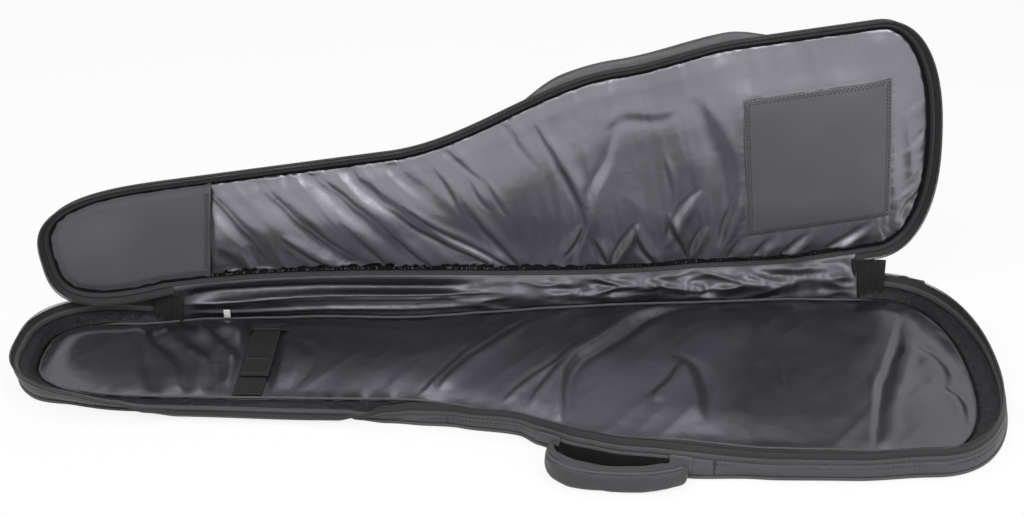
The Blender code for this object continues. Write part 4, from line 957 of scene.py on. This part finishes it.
def wallLining(s, form, hinge):
    top = wallPoint(s, form["down"], form["inward"])
    footIn = np.where(onHinge(s), bag["hingeFoot"] - 0.0019, 0.0022)
    foot = offsetPoint(s, floorOut(s) + footIn, bag["floorTop"] + 0.0010)
    v = np.linspace(0, 1, form["liningRows"])[None]
    into = unit(np.cross(top - foot, planTangent(s)))
    deep = form["deep"]
    bent = s[:, None] / 0.030 + 0.8 * wander(s[:, None] / 0.06, v * 3, 5)
    crumple = deep * 0.45 * wander(bent, v * form["crumples"], 8)
    crumple = crumple + deep * 0.28 * wander(s[:, None] / 0.011, v * 1.8 + 5, 9)
    if hinge:
        crumple = hingeCrumple(s, v, crumple, deep)
    calm = inside(s, 0.02, 0.07) if hinge else inside(s, 0.01)
    swell = np.maximum((deep * 0.35 + crumple) * np.sin(np.pi * v) ** 0.7 * calm[:, None], form["least"])
    return mix(top[:, None], foot[:, None], v[..., None]) + into[:, None] * swell[..., None]


def makeWalls():
    seams = {"Neck": zipStart, "Waist": waistS, "Bout": boutS, "Hinge": boutTabS, "": headTabS}
    for (name, start), end in zip(seams.items(), list(seams.values())[1:]):
        s = stationsAlong(start + bag["gap"], end - bag["gap"], 0.0038)
        low = name.lower()
        hinge = name == "Hinge"
        form = wallForm["hinge" if hinge else "free"]
        outer, lining = wallSkin(s, form), wallLining(s, form, hinge)
        if hinge:  # the upper rows are sewn to the lid
            sewn = [[lidSlant(s, tapeDown + up, inward) for up, inward in pair]
                    for pair in (((0.0045, -0.0010), (0.0020, -0.0010)),
                                 ((0.0040, 0.0030), (0.0010, 0.0036)))]
            outer, lining = (np.concatenate([np.stack(two, 1), g[:, 1:]], 1)
                             for two, g in zip(sewn, (outer, lining)))
        stands = ["gusset_" + low] + ["padding_" + low] * (not hinge)
        body = None if hinge else "base"
        pieces = (clothPiece("wall" + name, outer, "outerCloth", body, *stands, thick=0.0010, flip=True),
                  clothPiece("lining" + name, lining, form["look"], body, "lining_" + low, thick=0.0006))
        for piece in pieces if hinge else ():
            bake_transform(piece)


# the end tabs: first and last station, and how much the top rises
zipEnds = {"Head": (zipStart - 0.012, zipStart + 0.030, 0.010),
           "Bout": (boutTabS - 0.034, boutTabS + 0.012, 0.020)}


def makeTrayRim():
    s = stationsAlong(zipStart + bag["gap"], boutTabS - bag["gap"], 0.0035)
    strip("trayBinding", wallPoint, s, "trayBinding", "bindingTape", "base", "base_rim_binding")
    strip("trayTape", wallPoint, s, "tape", "zipTape", "base", "base_zip_tape")
    coil("trayCoil", rimCoil(wallPoint), s[0] + 0.014, s[-1] - 0.014, "base", "base_zip_coil")
    rows = []
    for down, inward in ((tapeDown - 0.001, 0.0004), (bindingDown - 0.002, -0.0006),
                         (bindingDown + 0.0045, -0.0008)):
        at = wallPoint(s, down, inward)
        rows.append((at, at - wallPoint(s, down, inward + 0.001)))
    stitches("trayRimStitches", rows, "darkThread", "base", "rim")
    v = np.linspace(0, 1, 14)
    for name, (start, end, rise) in zipEnds.items():
        t = np.linspace(start, end, 30)
        held = np.clip(t, zipStart + 0.0006, boutTabS - 0.0006)
        long = wallLong(held)
        rib = 0.0024 * abs(np.sin((t - start) / (end - start) * np.pi * 5))[:, None]
        rib = rib + 0.0012 * wander(t[:, None] / 0.006, v * 3, 3)
        rows = []
        for k in range(14):
            down = 0.86 * long * v[k] - 0.0010 * (1 - v[k]) * (long if k else 1)
            at = wallPoint(held, down, 0.0078 + rib[:, k] + 0.0030 * np.sin(np.pi * v[k]))
            rows.append(at + planTangent(held) * (t - held)[:, None] + upward * rise * (1 - v[k]) ** 2)
        panel = clothPiece("zipEnd" + name, np.stack(rows, 1), "endTape", None, "zip_tab_" + name.lower(),
                           thick=0.0012)
        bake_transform(panel)


shoulder = {
    "topX": -0.100, "endX": 0.430, "topY": 0.030, "endY": 0.120, "padWide": 0.058, "padThick": 0.0031,
    "webWide": 0.025, "webThick": 0.0014, "padShare": 0.60, "adjuster": 0.030, "anchor": 0.050,
    "anchorWide": 0.046, "patch": ((-0.154, -0.104), (-0.062, 0.062)), "groove": 0.0041,
}


def shoulderPoint(t, side):
    return xyz(mix(shoulder["topX"], shoulder["endX"], t),
               side * mix(shoulder["topY"], shoulder["endY"], ease(t)))


def makeBottom():
    def panelEdge(s):
        return offsetPoint(s, footOut(s) - 0.0018)

    x, y = planSurface(panelEdge, 0.006, 60)
    dist, _ = edgeDistance(x, y, panelEdge)
    z = 0.0035 * (1 - ease(dist / 0.006)) + 0.0003 + 0.0003 * (1 + wander(x / 0.05, y / 0.05, 2))
    (startX, endX), (_, endY) = shoulder["patch"]
    groove = ((x > startX - 0.002) & (x < endX + 0.002) & (abs(y) < endY + 0.002)) * 1.0
    t = np.linspace(-0.01, 1.01, 120)
    wide = np.where(t < shoulder["padShare"], shoulder["padWide"], shoulder["anchorWide"]) / 2 + 0.002
    for side in (1, -1):
        line = shoulderPoint(t, side)
        d = np.hypot(x[..., None] - line[:, 0], y[..., None] - line[:, 1])
        groove = np.maximum(groove, ease((wide - d).max(-1) / 0.004 + 0.5))
    points = xyz(x, y, mix(z, shoulder["groove"], groove))
    clothPiece("bottomCloth", points, "outerCloth", "base", "back_panel", thick=tray["cloth"], flip=True)
    ring = ringStations(0.0045)
    path = offsetPoint(ring, footOut(ring), 0.0029)
    tube("bottomPiping", path, lidRim["pipe"], "bindingTape", "base", "bottom_piping", sides=10, closed=True)


def band(name, side, start, end, wide, thick, look, stands, soft, bottom=0.0004):  # a flat length of a strap
    t = np.linspace(start, end, max(int(abs(end - start) * 140), 8))
    ahead = unit(shoulderPoint(t + 0.01, side) - shoulderPoint(t - 0.01, side))
    across = xyz(-ahead[:, 1], ahead[:, 0])
    cx, cz = softRound(20, soft, 0.1)
    grow = np.sqrt(np.clip(np.minimum(t - start, end - t) / (end - start) * 14, 0.02, 1))[:, None]
    plan = shoulderPoint(t, side)[:, None] + across[:, None] * (wide / 2 * grow * cx)[..., None]
    z = bottom + thick / 2 + thick / 2 * cz * np.clip(grow + 0.2, 0, 1)
    grid = np.concatenate([plan, z[..., None]], -1)
    centre = grid.mean(1, keepdims=True)
    grid = np.concatenate([np.repeat(centre[:1], 20, 1), grid, np.repeat(centre[-1:], 20, 1)])
    return clothPiece(name, grid, look, "base", stands, closeCols=True)


def makeShoulderStraps():
    want = shoulder
    whole = math.hypot(want["endX"] - want["topX"], want["endY"] - want["topY"])
    padEnd, webStart = want["padShare"], want["padShare"] + want["adjuster"] / whole * 0.6
    anchorStart = 1 - want["anchor"] / whole
    for word, side in (("left", 1), ("right", -1)):
        for part, start, end, wide, thick, look, soft in (
                ("Pad", 0.0, padEnd, "padWide", "padThick", "outerCloth", 0.45),
                ("Web", webStart, anchorStart + 0.02, "webWide", "webThick", "webbing", 0.3),
                ("Anchor", anchorStart, 1.0, "anchorWide", "webThick", "outerCloth", 0.4)):
            made = band("shoulder" + part + word.capitalize(), side, start, end, want[wide], want[thick],
                        look, f"shoulder_{part.lower()}_{word}", soft)
    gx, gy = np.meshgrid(np.linspace(*want["patch"][0], 14), np.linspace(*want["patch"][1], 30),
                         indexing="ij")
    patch = xyz(gx, gy, 0.0005)
    clothPiece("shoulderTopPatch", patch, "outerCloth", "base", "shoulder_top_anchor",
               thick=tray["cloth"], flip=True)


makeFloor()
makeWalls()
makeTrayRim()
makeBottom()
makeShoulderStraps()
print("tray made")

# neck strap, tag and carry handle
neckStrap = {
    "x": -0.3225, "wide": 0.037, "hingeY": -0.012, "tip": -0.048, "farY": 0.079, "padNear": -0.088,
    "top": 0.0149, "low": 0.0128, "shift": -0.0028, "thick": 0.0016, "padThick": 0.0014, "ripple": 0.0004,
}


def ribbon(name, yStart, yEnd, height, body, stands, shift=0.0, thick=neckStrap["thick"]):
    v, u = np.linspace(0, 1, 40)[:, None], np.linspace(-1, 1, 12)
    gy = np.repeat(mix(yStart, yEnd, v), 12, 1)
    gx = neckStrap["x"] + shift + u * neckStrap["wide"] / 2
    z = height(v) + neckStrap["ripple"] * wander(gy / 0.02, gx / 0.02, 2) - 0.0003 * abs(u) ** 6
    clothPiece(name, xyz(gx, gy, z), "webbing", body, stands, thick=thick, flip=True)


def makeNeckStrap():
    want = neckStrap
    x, top, hingeY, farY = want["x"], want["top"], want["hingeY"], want["farY"]
    ribbon("neckStrapTop", hingeY + 0.0004, farY, lambda v: top - 0.0002 - 0.0022 * ease((v - 0.75) / 0.25),
           "base", "neck_strap_anchor")
    ribbon("neckStrapUnder", want["padNear"], hingeY + 0.03, lambda v: want["low"], "base", "neck_strap_pad",
           want["shift"], want["padThick"])
    ribbon("neckStrapTip", want["tip"], hingeY, lambda v: top + 0.0012 * ease(1 - v / 0.5), "strap_tip",
           "neck_strap_flap")
    gx, gy = np.meshgrid(np.linspace(-1, 1, 14), np.linspace(0, 1, 6), indexing="ij")
    z = top + 0.0006 - 0.0012 * gy ** 2 + 0.0004 * wander(gx * 3, gy * 2, 4)
    grid = xyz(x + 0.004 + gx * 0.027, farY - 0.012 + gy * 0.014, z)
    clothPiece("neckStrapSeam", grid, "webbing", "base", thick=0.0010)
    across = np.linspace(x - want["wide"] / 2 + 0.002, x + want["wide"] / 2 - 0.002, 8)
    for name, body, ys in (("neckStrapStitches", "base", (hingeY + 0.004, farY - 0.010, farY - 0.004)),
                           ("neckTipStitches", "strap_tip", (hingeY - 0.030,))):
        stitches(name, [(xyz(across, y, top + 0.0010), upward) for y in ys], "thread", body)


tag = {"x": -0.380, "wide": 0.009, "tall": 0.0135}


def makeTag():
    s = np.array([sAt("far", tag["x"])])
    at, t = offsetPoint(s, floorOut(s) - 0.0040, bag["floorTop"] + 0.0040)[0], planTangent(s)[0]
    u, v = (k[..., None]
            for k in np.meshgrid(np.linspace(-0.5, 0.5, 8), np.linspace(0, 1, 12), indexing="ij"))
    lean = -0.0010 * np.sin(v * 3.0) - 0.0016 * v ** 2
    grid = at + t * u * tag["wide"] + np.array([t[1], -t[0], 0]) * lean + upward * v * tag["tall"]
    clothPiece("blankTag", grid, "blankTag", "base", "seam_tag", thick=0.0004)


handle = {
    "startX": 0.069, "endX": 0.224, "reach": 0.050, "lean": 0.40, "tall": 0.027, "deep": 0.026,
    "endTall": 0.0020, "endWide": 0.0056, "endGap": 0.0015, "axisZ": 0.0145, "along": 0.007,
    "tabWide": 0.030, "tabThick": 0.0024, "pipe": 0.0016, "pipeOut": 0.62, "pipeUp": 0.90, "stitchOut": 0.30,
}


def wallPatch(s, start, end, inward, swell):  # grid of a cloth on the wall, from start to end below its rim
    rows = [(mix(start, end, k), inward - swell * np.sin(np.pi * k)) for k in np.linspace(0, 1, 10)]
    return np.stack([wallPoint(s, *row) for row in rows], 1)


def makeHandle():
    want = handle
    ends = []
    for x in (want["endX"], want["startX"]):
        s = np.array([sAt("near", x)])
        top = topOf(s)[0, 2]
        down = wallLong(s) * (top - want["axisZ"]) / (top - bag["footZ"])
        ends.append(wallPoint(s, down, -rimShape["seam"] - want["tabThick"] - want["endGap"])[0])
    a, b = ends  # from the tail side to the head side
    a[2] = b[2] = want["axisZ"] + 0.0011
    along = unit(b - a)
    out = np.array([-along[1], along[0], 0])
    mid = (a + b) / 2 - along * want["along"]
    t = np.linspace(0, 1, 110)
    bow = -np.cos(np.pi * t)
    arch = (1 - abs(bow) ** 2.6) ** (1 / 1.9)
    reach = want["reach"] * arch * (1 + want["lean"] * bow)
    z = -(mid[2] - want["tall"] / 2 - 0.0006) * ease(arch)
    path = mid + along * (np.linalg.norm(b - a) / 2 * bow)[:, None]
    path = path + out * reach[:, None] + upward * z[:, None]
    side = unit(np.cross(upward, np.gradient(path, axis=0)))
    share = ease(np.minimum(t / 0.13, (1 - t) / 0.26))
    wide = mix(want["endWide"], want["deep"], share)[:, None] / 2
    tall = mix(want["endTall"], want["tall"], share)[:, None] / 2
    turns = np.linspace(0, 2 * np.pi, 28, endpoint=False)
    cx, cz = softRound(28, 0.6)
    run = runOf(path)[:, None]
    crease = 0.0007 * wander(run / 0.012, turns[None] * 1.2, 3)
    crease = (crease + 0.0006 * wander(run / 0.035, turns[None] * 0.8, 4)) * share[:, None]
    away, high = ((wide + crease) * cx)[..., None], ((tall + crease) * cz)[..., None]
    grid = path[:, None] + side[:, None] * away + upward * high
    grid[..., 2] = np.maximum(grid[..., 2], 0.0004)
    grip = clothPiece("handleGrip", grid, "gripCloth", "handle", "handle_grip", closeCols=True)

    def onGrip(outShare, rise):
        line = path + side * wide * outShare + upward * rise
        return line[(t > 0.12) & (t < 0.88)]

    pipe = onGrip(want["pipeOut"], tall * want["pipeUp"] + 0.0013)
    tube("handlePiping", pipe, want["pipe"], "bindingTape", "handle", "handle_piping")
    stitches("handleStitches", [(onGrip(want["stitchOut"], tall + 0.0003), upward)], "darkThread", "handle")
    # a near-black sheet on the wall between the handle's tabs: painted shade where the grip shadows the wall
    behind = np.linspace(sAt("near", want["startX"]) + 0.004, sAt("near", want["endX"]) - 0.006, 60)
    shadeSheet = wallPatch(behind, wallDown + 0.0030, wallLong(behind) + 0.0006, -0.0022, 0.0008)
    clothPiece("handleShadeSheet", shadeSheet, "shadeCloth", "base", slot="outer_nylon", thick=0.0010, flip=True)
    for word, x in (("left", want["startX"]), ("right", want["endX"])):
        s = sAt("near", x) + np.linspace(-0.5, 0.5, 14) * want["tabWide"]
        tab = wallPatch(s, wallDown - 0.002, wallLong(s) - 0.003, -0.0026, 0.0006)
        clothPiece("handleTab" + word.capitalize(), tab, "outerCloth", "base", "handle_mount_" + word,
                   slot="webbing", thick=0.0020, flip=True)


makeNeckStrap()
makeTag()
makeHandle()
print("strap, tag and handle made")

# metal and plastic parts keep their own shape and get a finish and eased edges
easedEdge = {"width": 0.0003, "segments": 2, "limit_method": "ANGLE", "angle_limit": math.radians(30)}
hardware = {"darkMetal": ("zip_slider_head", "zip_slider_bout", "zip_pull_head", "zip_pull_bout",
                          "pocket_slider", "pocket_pull"),
            "blackPlastic": ("strap_adjuster_left", "strap_adjuster_right")}
for look, names in hardware.items():
    for name in names:
        part = nodes[name]
        part.data.materials.clear()
        part.data.materials.append(looks[look])
        eased = part.modifiers.new("eased edges", "BEVEL")
        for key, value in easedEdge.items():
            setattr(eased, key, value)

# floor, light and camera
paperStage = {"half": 12.0, "z": -0.0006, "color": (0.86, 0.86, 0.86, 1), "rough": 0.9, "gloss": 0.1,
              "glow": 0.86, "air": 0.42}
softboxes = {  # place, aim, size and power
    "keySoftbox": ((-0.9, -1.5, 2.3), (0, 0.05, 0.1), (2.2, 1.4), 40.0),
    "fillSoftbox": ((1.5, -1.5, 1.5), (0.2, 0.05, 0.15), (1.4, 1.2), 22.0),
    "topSoftbox": ((0.2, 0.6, 2.4), (0, 0.1, 0.0), (2.0, 1.0), 16.0),
}
photoCamera = {"turn": (-0.99937, 28.85368, 0.59834), "lens": 59.77, "sensor": 36.0, "clip": (0.05, 60),
               "aim": (0.0039, 0.30878, 0.0), "distance": 2.51664}


def seenRays(tree):
    rays = node(tree, "LightPath", out=None)
    bounced = calc(tree, "MAXIMUM", rays["Is Glossy Ray"], rays["Is Transmission Ray"])
    return calc(tree, "MAXIMUM", rays["Is Camera Ray"], bounced)


def makeStage():
    want = paperStage
    paper = bpy.data.materials.new("studioPaper")
    paper.use_nodes = True
    tree = paper.node_tree
    shader = tree.nodes["Principled BSDF"]
    plug(shader,
         {"Base Color": want["color"], "Roughness": want["rough"], "Specular IOR Level": want["gloss"]})
    glow = node(tree, "Emission", {"Color": (1, 1, 1, 1), "Strength": 1.0})
    share = calc(tree, "MULTIPLY", seenRays(tree), want["glow"])
    plug(tree.nodes["Material Output"],
         {0: node(tree, "MixShader", {0: share, 1: shader.outputs[0], 2: glow})})
    corners = [(x * want["half"], y * want["half"], want["z"])
               for x, y in ((-1, -1), (1, -1), (1, 1), (-1, 1))]
    newObject("studioFloor", newMesh("studioFloor", corners, [(0, 1, 2, 3)], paper))
    world = bpy.data.worlds.new("studioAir")
    bpy.context.scene.world = world
    world.use_nodes = True
    tree = world.node_tree
    air = node(tree, "MapRange", {0: seenRays(tree), 3: want["air"], 4: 1.0})
    plug(tree.nodes["Background"], {0: (1, 1, 1, 1), 1: air})


def softbox(name, place, aim, size, power):
    lamp = bpy.data.lights.new(name, "AREA")
    lamp.energy, lamp.shape, lamp.size, lamp.size_y = power, "RECTANGLE", *size
    made = newObject(name, lamp)
    made.location = place
    made.rotation_euler = (Vector(aim) - Vector(place)).to_track_quat("-Z", "Y").to_euler()


def makeCamera():
    want = photoCamera
    yaw, pitch, roll = (math.radians(a) for a in want["turn"])
    ahead = Vector((math.sin(yaw) * math.cos(pitch), math.cos(yaw) * math.cos(pitch), -math.sin(pitch)))
    right = Vector((math.cos(yaw), -math.sin(yaw), 0))
    up = right.cross(ahead)
    across, top = right * math.cos(roll) + up * math.sin(roll), up * math.cos(roll) - right * math.sin(roll)
    data = bpy.data.cameras.new("photoCamera")
    data.lens, data.sensor_width, data.sensor_fit = want["lens"], want["sensor"], "HORIZONTAL"
    data.clip_start, data.clip_end = want["clip"]
    turned = Matrix((across, top, -ahead)).transposed().to_4x4()
    turned.translation = Vector(want["aim"]) - ahead * want["distance"]
    camera = newObject("photoCamera", data)
    camera.matrix_world = turned
    bpy.context.scene.camera = camera


makeStage()
for name, box in softboxes.items():
    softbox(name, *box)
makeCamera()
bpy.context.scene.view_settings.view_transform = "Standard"
print("stage ready")
